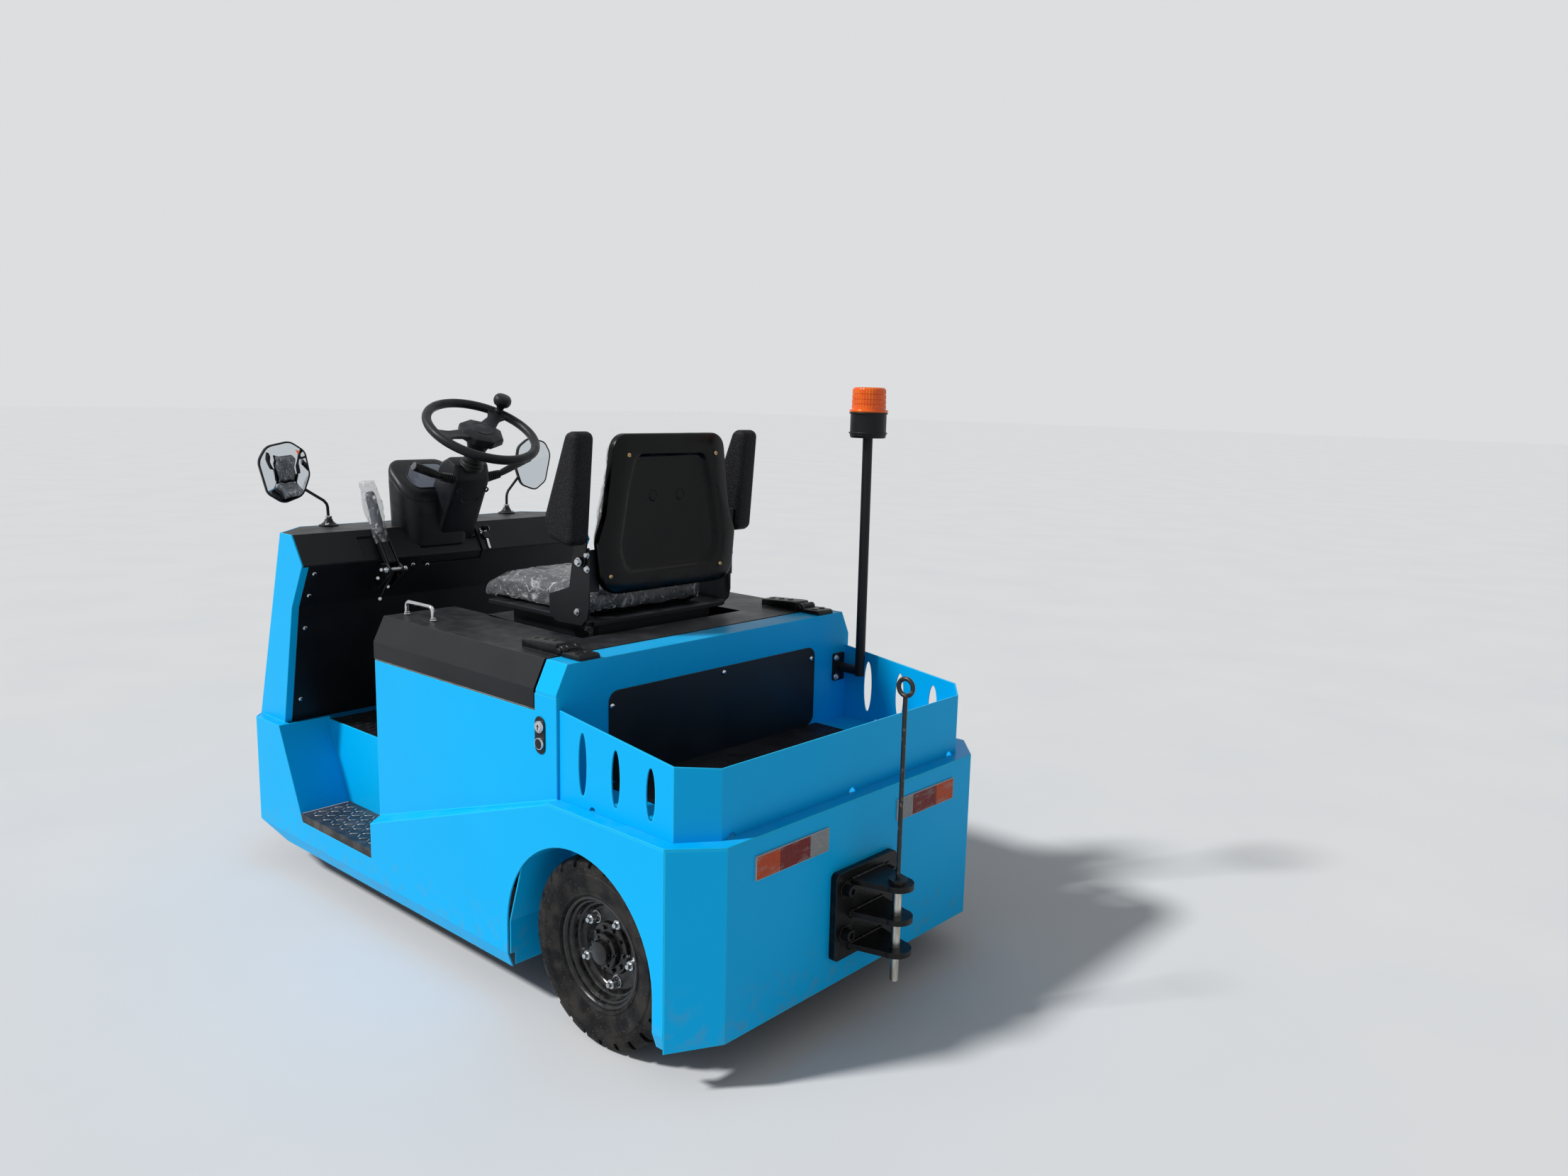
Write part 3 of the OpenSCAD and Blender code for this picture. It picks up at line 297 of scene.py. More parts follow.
# The traction battery is a welded steel trough of lead cells that stands in its tray under the
# hood. It is painted grey, and dusty on top.
battery = Finish("battery_grey", (64, 66, 68), 0.55)
battery.soften(0.004)
battery.grain(0.003, 0.0001)
battery.patches(0.08, 0.4, 0.7, 0.4, (96, 96, 94))
dress(battery, "battery_box")

# The tray and the footwell are lined with black rubber sheet, finely ribbed in the tray, dull,
# and grey with dust in patches.
rubber = Finish("floor_rubber", (13, 14, 18), 0.7, Specular_IOR_Level=0.2)
rubber.soften(0.001)
rubber.relief(rubber.cells(0.007, 0, 0.6), 0.0006)
rubber.patches(0.07, 0.4, 0.68, 0.25, (58, 60, 66))
rubber.polish(rubber.cloud(0.03, 0.4, 0.7), 0.5)
dress(rubber, "tray_mat", "floor_plate")


# The hitch is a thick plate with three ears, all flame cut and welded, sprayed satin black. Four
# socket-head bolts hold it through flat washers, and lumpy weld beads run along the ears.
def ring(radius, height, flats=0, steps=24):
    """Points round Z at one height: a circle, or a shape of so many flats across radius."""
    made = []
    for i in range(steps):
        angle = math.tau * i / steps
        reach = radius
        if flats:
            part = math.pi / flats
            reach = radius * math.cos(part) / math.cos((angle % (2 * part)) - part)
        made.append(Vector((reach * math.cos(angle), reach * math.sin(angle), height)))
    return made


def skin(rings, loop=False):
    """A closed form through rings that have as many points each, with its ends capped."""
    form = bmesh.new()
    made = [[form.verts.new(point) for point in one] for one in rings]
    count = len(made[0])
    for low, high in zip(made, made[1:] + made[:1] if loop else made[1:]):
        for i in range(count):
            form.faces.new((low[i], low[(i + 1) % count], high[(i + 1) % count], high[i]))
    if not loop:
        form.faces.new(made[0][::-1])
        form.faces.new(made[-1])
    bmesh.ops.remove_doubles(form, verts=form.verts, dist=1e-6)
    bmesh.ops.recalc_face_normals(form, faces=form.faces)
    return form


def turned(outline, steps=48, loop=False):
    """A form turned round Z from an outline of (radius, height) points."""
    return skin([ring(radius, height, 0, steps) for radius, height in outline], loop)


def stacked(*levels):
    """A form round Z through levels of (radius, height), or (radius, height, flats)."""
    return skin([ring(*level) for level in levels])


def bar(path, radius, sides=12, loop=False):
    """A round bar along a path. radius is one number, or one for each point."""
    path = [Vector(point) for point in path]
    count = len(path)
    radii = radius if isinstance(radius, (list, tuple)) else [radius] * count
    rings = []
    side = None
    for i, point in enumerate(path):
        before = path[i - 1] if i or loop else point
        after = path[(i + 1) % count] if i < count - 1 or loop else point
        along = (after - before).normalized()
        if side is None:
            side = along.orthogonal()
        side = (side - along * side.dot(along)).normalized()
        other = along.cross(side)
        turns = [math.tau * k / sides for k in range(sides)]
        rings.append([point + (side * math.cos(a) + other * math.sin(a)) * radii[i] for a in turns])
    return skin(rings, loop)


def put(form, *moves):
    """Moves a form, first by the last of the moves."""
    for move in reversed(moves):
        form.transform(move)
    return form


def aimed(place, direction, turn=0.0):
    """The move that puts a form at a place with its Z along a direction."""
    aim = Vector(direction).to_track_quat("Z", "Y").to_matrix().to_4x4()
    return Matrix.Translation(place) @ aim @ Matrix.Rotation(turn, 4, "Z")


def piece(name, forms, finish, body, slot, *replaced, crease=35):
    """Joins forms into one piece that rides on a body and may stand for CAD nodes."""
    whole = bmesh.new()
    for form in forms:
        part = bpy.data.meshes.new("part")
        form.to_mesh(part)
        form.free()
        whole.from_mesh(part)
        bpy.data.meshes.remove(part)
    mesh = bpy.data.meshes.new(name)
    whole.to_mesh(mesh)
    whole.free()
    mesh.shade_smooth()
    mesh.set_sharp_from_angle(angle=math.radians(crease))
    mesh.materials.append(finish.material)
    made = bpy.data.objects.new(name, mesh)
    scene.collection.objects.link(made)
    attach(made, body)
    if replaced:
        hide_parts(*replaced)
    return made


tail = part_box("rear_skirt")[0].x


def spot(x, y, z):
    """A place on the tug, its length measured from the rear face."""
    return Vector((tail + x, y, z))


satin = Finish("satin_black", (13, 14, 16), 0.36, Specular_IOR_Level=0.25)
satin.soften(0.0018)
satin.grain(0.006, 0.0002)
# paler along the edges: partly wear, partly a painted highlight
satin.tint(satin.times(satin.edges(0.0014), 0.3), (112, 110, 106))
satin.patches(0.02, 0.5, 0.75, 0.25, (66, 62, 58))
dress(satin, "hitch")

hitch_plate_t = 0.016
hitch_bolt_r = 0.0125
washer = [(0.013, 0), (0.0195, 0), (0.0195, 0.003), (0.013, 0.003)]
socket_head = [(hitch_bolt_r, 0.003), (hitch_bolt_r, 0.0195), (hitch_bolt_r - 0.0014, 0.021),
               (0.0078, 0.021, 6), (0.0072, 0.0195, 6), (0.0072, 0.012, 6)]
bolt_heads, bolt_washers, beads = [], [], []
for y in (-0.075, 0.075):
    for z in (0.222, 0.322):
        behind = aimed(spot(-hitch_plate_t, y, z), (-1, 0, 0), 0.4 * y + z)
        bolt_washers.append(put(turned(washer, 32, True), behind))
        bolt_heads.append(put(stacked(*socket_head), behind))

ear_heights = [0.187 + 0.074 * i for i in range(3)]
ear_half_t = 0.0065
bead_r, bead_lumps = 0.0034, 0.0008
bead_run = [y / 1000 for y in range(-57, 58, 3)]
random.seed(11)
for middle in ear_heights:
    for side in (-1, 1):
        path = [spot(-hitch_plate_t - 0.002, y, middle + side * ear_half_t) for y in bead_run]
        beads.append(bar(path, [bead_r + random.uniform(-bead_lumps, bead_lumps) for _ in path], 8))
piece("hitch_bolts", bolt_heads, satin, "body", "black_steel")
piece("hitch_washers", bolt_washers, satin, "body", "black_steel")
piece("hitch_welds", beads, satin, "body", "black_steel", crease=80)

# The tow pin is bright zinc-plated bar that drops through the three ears. A thin black rod with
# a wire ring is screwed into its collar, to lift it from the seat.
collar_top = 0.338
pin_finish = Finish("tow_pin", (200, 198, 190), 0.3, Metallic=1.0)
rod_share = pin_finish.height(collar_top, collar_top + 0.0005)
pin_finish.tint(pin_finish.cloud(0.01, 0.4, 0.7, (1, 1, 0.2)), (150, 144, 132))
pin_finish.tint(rod_share, (24, 24, 26))
pin_finish.tint(pin_finish.times(rod_share, pin_finish.cloud(0.008, 0.6, 0.7)), (92, 84, 74))
pin_finish.plate_over(rod_share, 0.0)
pin_finish.polish(rod_share, 0.42)
pin_finish.relief(pin_finish.cloud(0.002, 0.35, 0.7, (1, 1, 0.3)), 0.00008)
dress(pin_finish, "tow_pin")

# The rear tyres are 4.00-8, moulded in black rubber: plain centre, a row of shoulder blocks each
# side split by narrow slanted grooves, and fine rings on a dull side wall that is a little dusty.
tyre_rubber = Finish("tyre_rubber", (20, 20, 22), 0.55, Specular_IOR_Level=0.16)
tyre_rubber.relief(tyre_rubber.cloud(0.002, 0.3, 0.7), 0.00012)
tyre_rubber.patches(0.03, 0.42, 0.66, 0.5, (64, 61, 57))
tyre_rubber.patches(0.004, 0.62, 0.7, 0.5, (96, 92, 86))
tyre_rubber.polish(tyre_rubber.cloud(0.015, 0.4, 0.65), 0.75)


def on_axle(place, side):
    """The move that puts a wheel's form on its axle, its outer side out."""
    outward = Matrix.Scale(side, 4, (0, 1, 0)) @ Matrix.Rotation(-math.pi / 2, 4, "X")
    return Matrix.Translation(place) @ outward


def mended(form):
    """Turns the faces of a mirrored form outward again."""
    bmesh.ops.recalc_face_normals(form, faces=form.faces)
    return form


# half of the tyre's section as (radius, distance from its middle), from the bead outward
half_tyre = [(0.1146, 0.024), (0.1175, 0.031), (0.1215, 0.0395), (0.125, 0.0425), (0.128, 0.0428),
             (0.1295, 0.0415), (0.135, 0.0432), (0.148, 0.0462), (0.163, 0.0482), (0.1655, 0.0497),
             (0.1685, 0.05), (0.1712, 0.0497), (0.1728, 0.0484), (0.181, 0.0484), (0.1852, 0.0482),
             (0.1856, 0.048), (0.1912, 0.0465), (0.198, 0.0432), (0.2035, 0.0376), (0.2063, 0.0305),
             (0.2073, 0.0225), (0.20745, 0.0166), (0.2075, 0.0162), (0.2075, 0.006)]
grooved = range(15, 22)        # the points of the section that a groove cuts
blocks = 24
centre_half, shoulder_w = 0.016, 0.03
groove_half = math.radians(1.3)
groove_wall = math.radians(0.35)
groove_depth = 0.0095
groove_slant = math.radians(5)
pitch = math.tau / blocks


def block_tyre():
    """A tyre about Z with grooved shoulders."""
    outline = half_tyre + [(r, -w) for r, w in reversed(half_tyre)]
    count = len(half_tyre)
    groove_end = groove_half + groove_wall
    angles = [-groove_end, -groove_half, groove_half, groove_end]
    angles += [groove_end + (pitch - 2 * groove_end) * k / 3 for k in (1, 2)]
    stations = [(b * pitch + a, 1 <= k <= 2) for b in range(blocks) for k, a in enumerate(angles)]
    rings = []
    for turn, in_groove in stations:
        points = []
        for i, (radius, across) in enumerate(outline):
            row = i if i < count else 2 * count - 1 - i
            edge = min(1.0, max(0.0, (abs(across) - centre_half) / shoulder_w))
            angle = turn + (groove_slant * edge if across > 0 else pitch / 2 - groove_slant * edge)
            if in_groove and row in grooved:
                radius -= groove_depth * (0.5 + 0.5 * min(1.0, (radius - 0.18) / 0.02))
                across *= 0.93
            points.append(Vector((radius * math.cos(angle), radius * math.sin(angle), across)))
        rings.append(points)
    return skin(rings, loop=True)


# The rear wheels are pressed steel under gloss black: a curled lip, two rolled steps and a dished
# disc, held by five plated nuts on studs. Rings of small bolts hold the hub and its cap.
gloss = Finish("gloss_black", (12, 12, 13), 0.2, Specular_IOR_Level=0.5)
gloss.grain(0.004, 0.00005)
gloss.patches(0.02, 0.45, 0.7, 0.35, (58, 55, 52))
gloss.polish(gloss.cloud(0.012, 0.45, 0.65), 0.4)

zinc = Finish("bright_zinc", (208, 212, 216), 0.25, Metallic=1.0)
zinc.grain(0.0012, 0.00003)
zinc.tint(zinc.cloud(0.006, 0.4, 0.7), (176, 179, 180))
zinc.polish(zinc.cloud(0.004, 0.4, 0.65), 0.4)

# the rim's section as (radius, distance outward), once round from the inner lip
rim_outline = [(0.1142, -0.0295), (0.1195, -0.031), (0.121, -0.0345), (0.1175, -0.0372), (0.112, -0.034),
               (0.104, -0.026), (0.094, -0.016), (0.086, -0.012), (0.058, -0.012), (0.058, -0.028),
               (0.0312, -0.028), (0.0312, 0), (0, 0), (0, 0.0405), (0.021, 0.0402), (0.0245, 0.0385),
               (0.0262, 0.035), (0.0275, 0.0262), (0.033, 0.0252), (0.0365, 0.0235), (0.0378, 0.02),
               (0.0385, 0.0108), (0.0415, 0.0098), (0.0525, 0.0096), (0.0556, 0.0086), (0.0572, 0.006),
               (0.0578, -0.0005), (0.0625, -0.0022), (0.083, -0.0036), (0.0888, -0.0026), (0.0925, 0.001),
               (0.0945, 0.0066), (0.0962, 0.0096), (0.0985, 0.0104), (0.1002, 0.0118), (0.1014, 0.0158),
               (0.1034, 0.0226), (0.1052, 0.0252), (0.1075, 0.026), (0.1092, 0.0274), (0.1102, 0.031),
               (0.1116, 0.0346), (0.1142, 0.0372), (0.1178, 0.038), (0.1206, 0.0368), (0.121, 0.0345),
               (0.1195, 0.031), (0.1142, 0.0295)]
nut_ring, hub_ring, cap_ring = 0.074, 0.0468, 0.0318
nut_count, nut_turn = 5, math.radians(28)
nut_washer = [(0.006, 0), (0.0138, 0), (0.0138, 0.0022), (0.006, 0.0022)]
nut_levels = [(0.0118, 0.0022), (0.0112, 0.0045), (0.0112, 0.006, 6), (0.0112, 0.0185, 6), (0.0098, 0.0198)]
stud_end = [(0.0056, 0.018), (0.0056, 0.027), (0.0048, 0.0282), (0, 0.0282)]


def bolt_circle(count, radius, levels):
    """Small six-sided bolts evenly round a wheel's axle."""
    return [put(stacked(*levels), Matrix.Rotation(math.tau * k / count, 4, "Z"),
                Matrix.Translation((radius, 0, 0))) for k in range(count)]


for side, name in ((1, "left"), (-1, "right")):
    middle = spot(0.312, side * 0.446, 0.2075)
    seat = on_axle(middle, side)
    body = "rear_" + name
    piece("tyre_" + name, [mended(put(block_tyre(), seat))], tyre_rubber, body, "tyre_rubber",
          "rear_tyre_" + name, crease=30)
    wheel = [turned(rim_outline, 96, True)]
    wheel += bolt_circle(10, hub_ring, [(0.0052, 0.0095, 6), (0.0052, 0.0142, 6), (0.0044, 0.0152)])
    wheel += bolt_circle(6, cap_ring, [(0.0034, 0.0252, 6), (0.0034, 0.0285, 6), (0.0028, 0.029)])
    piece("wheel_" + name, [mended(put(form, seat)) for form in wheel], gloss, body, "rim_paint",
          "rear_rim_" + name, crease=32)
    nuts = []
    for k in range(nut_count):
        place = [Matrix.Rotation(nut_turn + math.tau * k / nut_count, 4, "Z"),
                 Matrix.Translation((nut_ring, 0, -0.0035))]
        nuts.append(put(turned(nut_washer, 24, True), *place))
        nuts.append(put(stacked(*nut_levels), *place))
        nuts.append(put(turned(stud_end, 16), *place))
    piece("wheel_nuts_" + name, [mended(put(form, seat)) for form in nuts], zinc, body, "zinc")

# The front wheel is smaller and hides under the nose: a ribbed rubber steer tyre on a gloss black
# disc wheel, which turns on an axle through both cheeks of the fork.
steer_r = 0.19
half_ribbed = [(0.1082, 0.027), (0.112, 0.034), (0.117, 0.041), (0.122, 0.0445), (0.126, 0.0445),
               (0.13, 0.0455), (0.15, 0.051), (0.163, 0.052), (0.175, 0.0495), (0.183, 0.044), (0.187, 0.037),
               (0.188, 0.031), (0.1882, 0.0285), (0.181, 0.0275), (0.181, 0.0255), (0.189, 0.0245),
               (0.1898, 0.012), (0.182, 0.011), (0.182, 0.009), (0.19, 0.008)]
front_seat = on_axle(spot(1.712, 0, steer_r), 1)
ribbed = half_ribbed + [(r, -w) for r, w in reversed(half_ribbed)]
piece("tyre_front", [put(turned(ribbed, 128, True), front_seat)], tyre_rubber, "front_wheel", "tyre_rubber",
      "front_tyre", crease=30)
dress(gloss, "front_rim")

# The steering wheel is moulded in dark polyurethane on a steel core: a thick rim, two broad
# spokes, an eight-sided centre pad, and a spinner knob on a short post over one spoke.
plastic = Finish("moulded_plastic", (26, 28, 32), 0.38, Specular_IOR_Level=0.24)
plastic.soften(0.0015)
plastic.relief(plastic.cloud(0.0012, 0.35, 0.65), 0.00005)
# painted top light: faces that look up are drawn a lighter grey, as if lit from above
plastic.tint(plastic.times(plastic.upward(), 0.25), (48, 51, 57))
plastic.polish(plastic.cloud(0.03, 0.4, 0.7), 0.56)


def rounded(corners, steps=6):
    """An outline through (x, y, radius) corners, each turned through an arc."""
    made = []
    for i, (x, y, radius) in enumerate(corners):
        here = Vector((x, y))
        back = Vector(corners[i - 1][:2]) - here
        onward = Vector(corners[(i + 1) % len(corners)][:2]) - here
        half = back.angle(onward) / 2
        reach = min(radius / math.tan(half), back.length * 0.49, onward.length * 0.49)
        radius = reach * math.tan(half)
        if radius < 1e-6:
            made += [here] * (steps + 1)
            continue
        middle = here + (back.normalized() + onward.normalized()).normalized() * (radius / math.sin(half))
        first = here + back.normalized() * reach - middle
        last = here + onward.normalized() * reach - middle
        turn = math.atan2(first.cross(last), first.dot(last))
        made += [middle + Matrix.Rotation(turn * k / steps, 2) @ first for k in range(steps + 1)]
    return [(point.x, point.y) for point in made]


def inset(outline, by):
    """An outline moved inwards by a distance, point by point."""
    points = [Vector(point) for point in outline]
    area = sum(a.cross(b) for a, b in zip(points, points[1:] + points[:1]))
    made = []
    for i, point in enumerate(points):
        others = points[i + 1:] + points[:i]
        before = next(other for other in reversed(others) if (other - point).length > 1e-7)
        after = next(other for other in others if (other - point).length > 1e-7)
        onward = (after - point).normalized()
        along = ((point - before).normalized() + onward).normalized()
        side = Vector((-along.y, along.x)) * (1 if area > 0 else -1)
        made.append(tuple(point + side * by / max(0.5, along.dot(onward))))
    return made


def level_ring(outline, height):
    """An outline of (x, y) points as a ring at one height."""
    return [Vector((x, y, height)) for x, y in outline]


def stepped(outline, levels, loop=False):
    """A form along Z through levels of (inset, height) of an outline of (x, y) points."""
    return skin([level_ring(inset(outline, by), height) for by, height in levels], loop)


def plate(outline, thickness, edge):
    """A plate with soft edges, raised along Z from an outline of (x, y) points."""
    return stepped(outline, [(edge, 0), (0, edge), (0, thickness - edge), (edge, thickness)])


column = Matrix.Translation(spot(1.410, 0, 1.243)) @ Matrix.Rotation(math.radians(-29), 4, "Y")
wheel_r = 0.156
grip_r = 0.013
knob_turn = math.radians(-50)
spoke = [(0.03, -0.026, 0), (0.108, -0.018, 0.04), (0.144, -0.03, 0.012), (0.153, -0.046, 0),
         (0.153, 0.046, 0), (0.144, 0.03, 0.012), (0.108, 0.018, 0.04), (0.03, 0.026, 0)]
circle = [math.tau * k / 96 for k in range(96)]
wheel = [bar([(wheel_r * math.cos(a), wheel_r * math.sin(a), 0) for a in circle], grip_r, 16, True)]
spoke_dip = Matrix.Translation((0, 0, -0.012)) @ Matrix.Rotation(math.radians(-2), 4, "Y")
for turn in (knob_turn, math.radians(97)):
    wheel.append(put(plate(rounded(spoke), 0.009, 0.003), Matrix.Rotation(turn, 4, "Z"), spoke_dip))
pad = [(0.048, -0.028), (0.06, -0.024), (0.0655, -0.018), (0.0655, -0.004), (0.063, 0.0005), (0.048, 0.0062),
       (0.037, 0.0074)]
pad_cap = [(0, 0), (0.0325, 0.006), (0.0325, 0.0086), (0.031, 0.0094), (0.0292, 0.0086), (0.02, 0.0098),
           (0, 0.0104)]
hub = [(0, -0.075), (0.023, -0.075), (0.025, -0.0725), (0.0275, -0.056), (0.036, -0.034), (0.041, -0.028),
       (0.046, -0.0265), (0.046, -0.022), (0, -0.022)]
shaft = [(0, -0.17), (0.0138, -0.17), (0.0138, -0.05), (0, -0.05)]
knob = [(0, -0.01), (0.0125, -0.01), (0.0125, 0.012), (0.0105, 0.014), (0.0105, 0.021), (0.0128, 0.0225),
        (0.0128, 0.025), (0.016, 0.0262), (0.0225, 0.031), (0.0258, 0.0385), (0.0262, 0.045),
        (0.0246, 0.0515), (0.0206, 0.0568), (0.0186, 0.0562), (0.0165, 0.0576), (0, 0.0592)]
wheel += [skin([ring(radius, height, 8, 64) for radius, height in pad]), turned(pad_cap), turned(hub),
          turned(shaft, 24)]
wheel.append(put(turned(knob), Matrix.Rotation(knob_turn, 4, "Z"), Matrix.Translation((0.153, 0, 0))))
piece("steering_wheel_rim", [put(form, column) for form in wheel], plastic, "steering", "black_plastic",
      "steering_wheel", crease=40)

# The column's cover is a moulded box with soft corners, screwed together from behind. A ribbed
# rubber boot closes it round the shaft, and two stalks with grey end caps leave its sides through
# bellows.
def box_outline(front, back, half, corner):
    """A cross-section of the column's cover, back towards the driver."""
    return rounded([(back, -half, corner), (front, -half, corner), (front, half, corner),
                    (back, half, corner)], 5)


def facing(place, across, up):
    """The move that lays a form's X along across and its Y along up, at a place."""
    across, up = Vector(across).normalized(), Vector(up)
    up = (up - across * across.dot(up)).normalized()
    return Matrix.Translation(place) @ Matrix((across, up, across.cross(up))).transposed().to_4x4()


# each level is (along the shaft, front, back, half width, corner)
cover_levels = [(-0.446, 0.07, -0.008, 0.0685, 0.012), (-0.436, 0.07, -0.014, 0.069, 0.014),
                (-0.409, 0.07, -0.0285, 0.0685, 0.016), (-0.402, 0.07, -0.03, 0.068, 0.017),
                (-0.30, 0.07, -0.03, 0.0655, 0.018), (-0.152, 0.0685, -0.03, 0.0615, 0.018),
                (-0.1455, 0.068, -0.0285, 0.061, 0.018), (-0.1405, 0.0665, -0.0255, 0.0605, 0.018),
                (-0.117, 0.0475, -0.0095, 0.0575, 0.016), (-0.1135, 0.0445, -0.0065, 0.056, 0.015),
                (-0.112, 0.0405, -0.002, 0.052, 0.012)]
cover = [skin([level_ring(box_outline(front, back, half, corner), height)
               for height, front, back, half, corner in cover_levels])]
cover_back = -0.0302
screw_seat = [(0.0052, -0.004), (0.0082, -0.004), (0.0082, 0.0006), (0.0074, 0.0012), (0.0058, 0.0008)]
for y, along in ((0.039, -0.183), (-0.054, -0.183), (0.042, -0.337), (-0.06, -0.354)):
    cover.append(put(turned(screw_seat, 24, True), facing((cover_back, y, along), (0, 1, 0), (0, 0, -1))))
pull = rounded([(0.026, -0.206, 0.004), (0.026, -0.214, 0.006), (0.016, -0.226, 0.012),
                (-0.026, -0.226, 0.012), (-0.036, -0.214, 0.006), (-0.036, -0.206, 0.004)])
pull_levels = [(-0.029, 0), (-0.0312, 0), (-0.0316, 0.001), (-0.0312, 0.002), (-0.0295, 0.0035)]
cover.append(skin([[Vector((u, y, along)) for y, along in inset(pull, by)] for u, by in pull_levels]))
piece("column_cover", [put(form, column) for form in cover], plastic, "body", "black_plastic",
      "steering_column", crease=40)

soft_rubber = Finish("moulded_rubber", (18, 18, 19), 0.5, Specular_IOR_Level=0.3)
soft_rubber.grain(0.002, 0.00006)
# painted top light: faces that look up are drawn a lighter grey, as if lit from above
soft_rubber.tint(soft_rubber.times(soft_rubber.upward(0.3, 0.9), 0.3), (58, 58, 60))
boot = [(0.0158, -0.12), (0.0345, -0.12), (0.035, -0.112), (0.0335, -0.1095), (0.0305, -0.109),
        (0.0305, -0.1065), (0.0325, -0.105), (0.031, -0.1025), (0.0265, -0.1015), (0.0255, -0.096),
        (0.0275, -0.0935), (0.0262, -0.0905), (0.0205, -0.0895), (0.0195, -0.086), (0.0158, -0.0855)]
bellows_r, fold_depth, fold_steps = 0.0148, 0.0046, 24
stalks = [turned(boot, 40, True)]
caps = []
for side, out, end, thick in ((1, 0.18, -0.117, 0.0122), (-1, 0.203, -0.101, 0.0105)):
    root = Vector((-0.01, side * 0.056, -0.152))
    elbow = Vector((-0.008, side * 0.098, -0.1435))
    tip = Vector((0.008, side * out, end))
    steps = range(fold_steps + 1)
    stalks.append(bar([root.lerp(elbow, k / fold_steps) for k in steps],
                      [bellows_r - 0.0001 * k - (fold_depth if k % 4 == 2 else 0.0) for k in steps], 24))
    handle_radii = [(0, 0.0085), (0.12, 0.0098), (0.3, thick), (0.82, thick * 1.06), (0.84, thick * 0.94),
                    (0.87, thick * 1.06), (1.0, thick * 1.06)]
    stalks.append(bar([elbow.lerp(tip, share) for share, _ in handle_radii],
                      [radius for _, radius in handle_radii], 24))
    cap = [(0, -0.002), (thick * 0.98, -0.002), (thick * 0.98, 0.001), (thick * 0.88, 0.0024), (0, 0.003)]
    caps.append(put(turned(cap, 24), aimed(tip, (tip - elbow).normalized())))
piece("stalks", [put(form, column) for form in stalks], soft_rubber, "body", "black_plastic", crease=50)

cap_grey = Finish("cap_grey", (88, 90, 93), 0.42)
cap_grey.grain(0.003, 0.00004)
cap_grey.tint(cap_grey.cloud(0.01, 0.45, 0.7), (76, 77, 80))
piece("stalk_caps", [put(form, column) for form in caps], cap_grey, "body", "black_plastic")

# The instrument pod is a rounded moulding that stands on the cowl beside the column. Its face
# slopes to the driver and holds a dark glass in a raised frame; a groove marks its lid.
slope = math.tan(math.radians(36))
cowl_foot_x, cowl_top_x, cowl_foot_z, cowl_rise = 1.53, 1.582, 0.886, 1.47


def pod_face(x):
    """Height of the pod's sloping face at a length from the rear face."""
    return 1.056 + (x - 1.534) * slope


def on_cowl(x):
    """Height of the cowl at a length from the rear face: its slope, then its flat top."""
    return cowl_foot_z + max(0.0, min(x, cowl_top_x) - cowl_foot_x) * cowl_rise


pod_plan = rounded([(1.54, -0.045, 0.03), (1.676, -0.045, 0.045), (1.676, 0.164, 0.05),
                    (1.54, 0.164, 0.052)], 8)
# (inset, distance below the face) from the foot up; the dip at 0.025 is the groove under the lid
pod_levels = [(0, 0.06), (0, 0.0272), (0.0012, 0.0262), (0.0012, 0.0248), (0, 0.0238), (0.0002, 0.018),
              (0.0025, 0.01), (0.0075, 0.0038), (0.014, 0.0008), (0.02, 0)]
pod_rings = [[spot(x, y, on_cowl(x)) for x, y in inset(pod_plan, 0.004)]]
pod_rings += [[spot(x, y, pod_face(x) - drop) for x, y in inset(pod_plan, by)] for by, drop in pod_levels]
frame_plan = rounded([(1.556, -0.02, 0.014), (1.648, -0.02, 0.03), (1.65, 0.09, 0.03), (1.606, 0.128, 0.02),
                      (1.556, 0.128, 0.022)], 8)


def face_ring(by, rise):
    """The display's frame on the pod's face, inset by a distance and raised a little."""
    return [spot(x, y, pod_face(x) + rise) for x, y in inset(frame_plan, by)]


frame_levels = [(0, -0.004), (0, 0.0012), (0.0008, 0.0022), (0.0035, 0.0022), (0.0042, 0.0014),
                (0.0042, -0.004)]
glass_levels = [(0.0038, -0.003), (0.0038, 0.0008), (0.0048, 0.0011)]
pod = [skin(pod_rings), skin([face_ring(by, rise) for by, rise in frame_levels], loop=True)]
piece("instrument_pod_shell", pod, plastic, "body", "black_plastic", "instrument_pod", crease=40)
# the display's dark glass is coloured pale grey-blue, with darker patches: a painted reflection of the sky
glass = Finish("display_glass_sky_painted", (92, 100, 116), 0.08)
glass.tint(glass.cloud(0.05, 0.45, 0.55), (70, 78, 94))
glass.relief(glass.cloud(0.05, 0.3, 0.7), 0.0001)
piece("display", [skin([face_ring(by, rise) for by, rise in glass_levels])], glass, "body", "lamp_glass")

# The parking brake is a lever between two black plates on the knee panel: two black side bars on a
# zinc cross bolt, and a foam grip that still wears its clear bag. Linkage bolts show below it.
lever_y = 0.238
lever_pin = (1.488, 0.858)


def from_left(y):
    """The move for an outline of (length, height) points, its thickness towards the right."""
    return facing(spot(0, y, 0), (1, 0, 0), (0, 0, 1))


bracket = rounded([(1.5355, 0.872, 0), (1.498, 0.874, 0.006), (1.478, 0.864, 0.008), (1.480, 0.844, 0.01),
                   (1.54, 0.802, 0.006), (1.5815, 0.79, 0)], 4)
plates = [put(plate(bracket, 0.005, 0.0008), from_left(lever_y + out)) for out in (-0.017, 0.022)]
plates.append(bar([spot(1.506, 0.236, 0.846), spot(1.528, 0.25, 0.8), spot(1.548, 0.252, 0.77)], 0.005, 12))
plates.append(bar([spot(1.573, lever_y, 0.967), spot(1.566, lever_y, 0.951)], 0.0125, 20))
piece("lever_plates", plates, satin, "body", "black_coat", "brake_lever")
side_bar = rounded([(1.4795, 0.8515, 0.008), (1.4935, 0.8465, 0.009), (1.5745, 0.9505, 0.006),
                    (1.5615, 0.9615, 0.006)], 5)
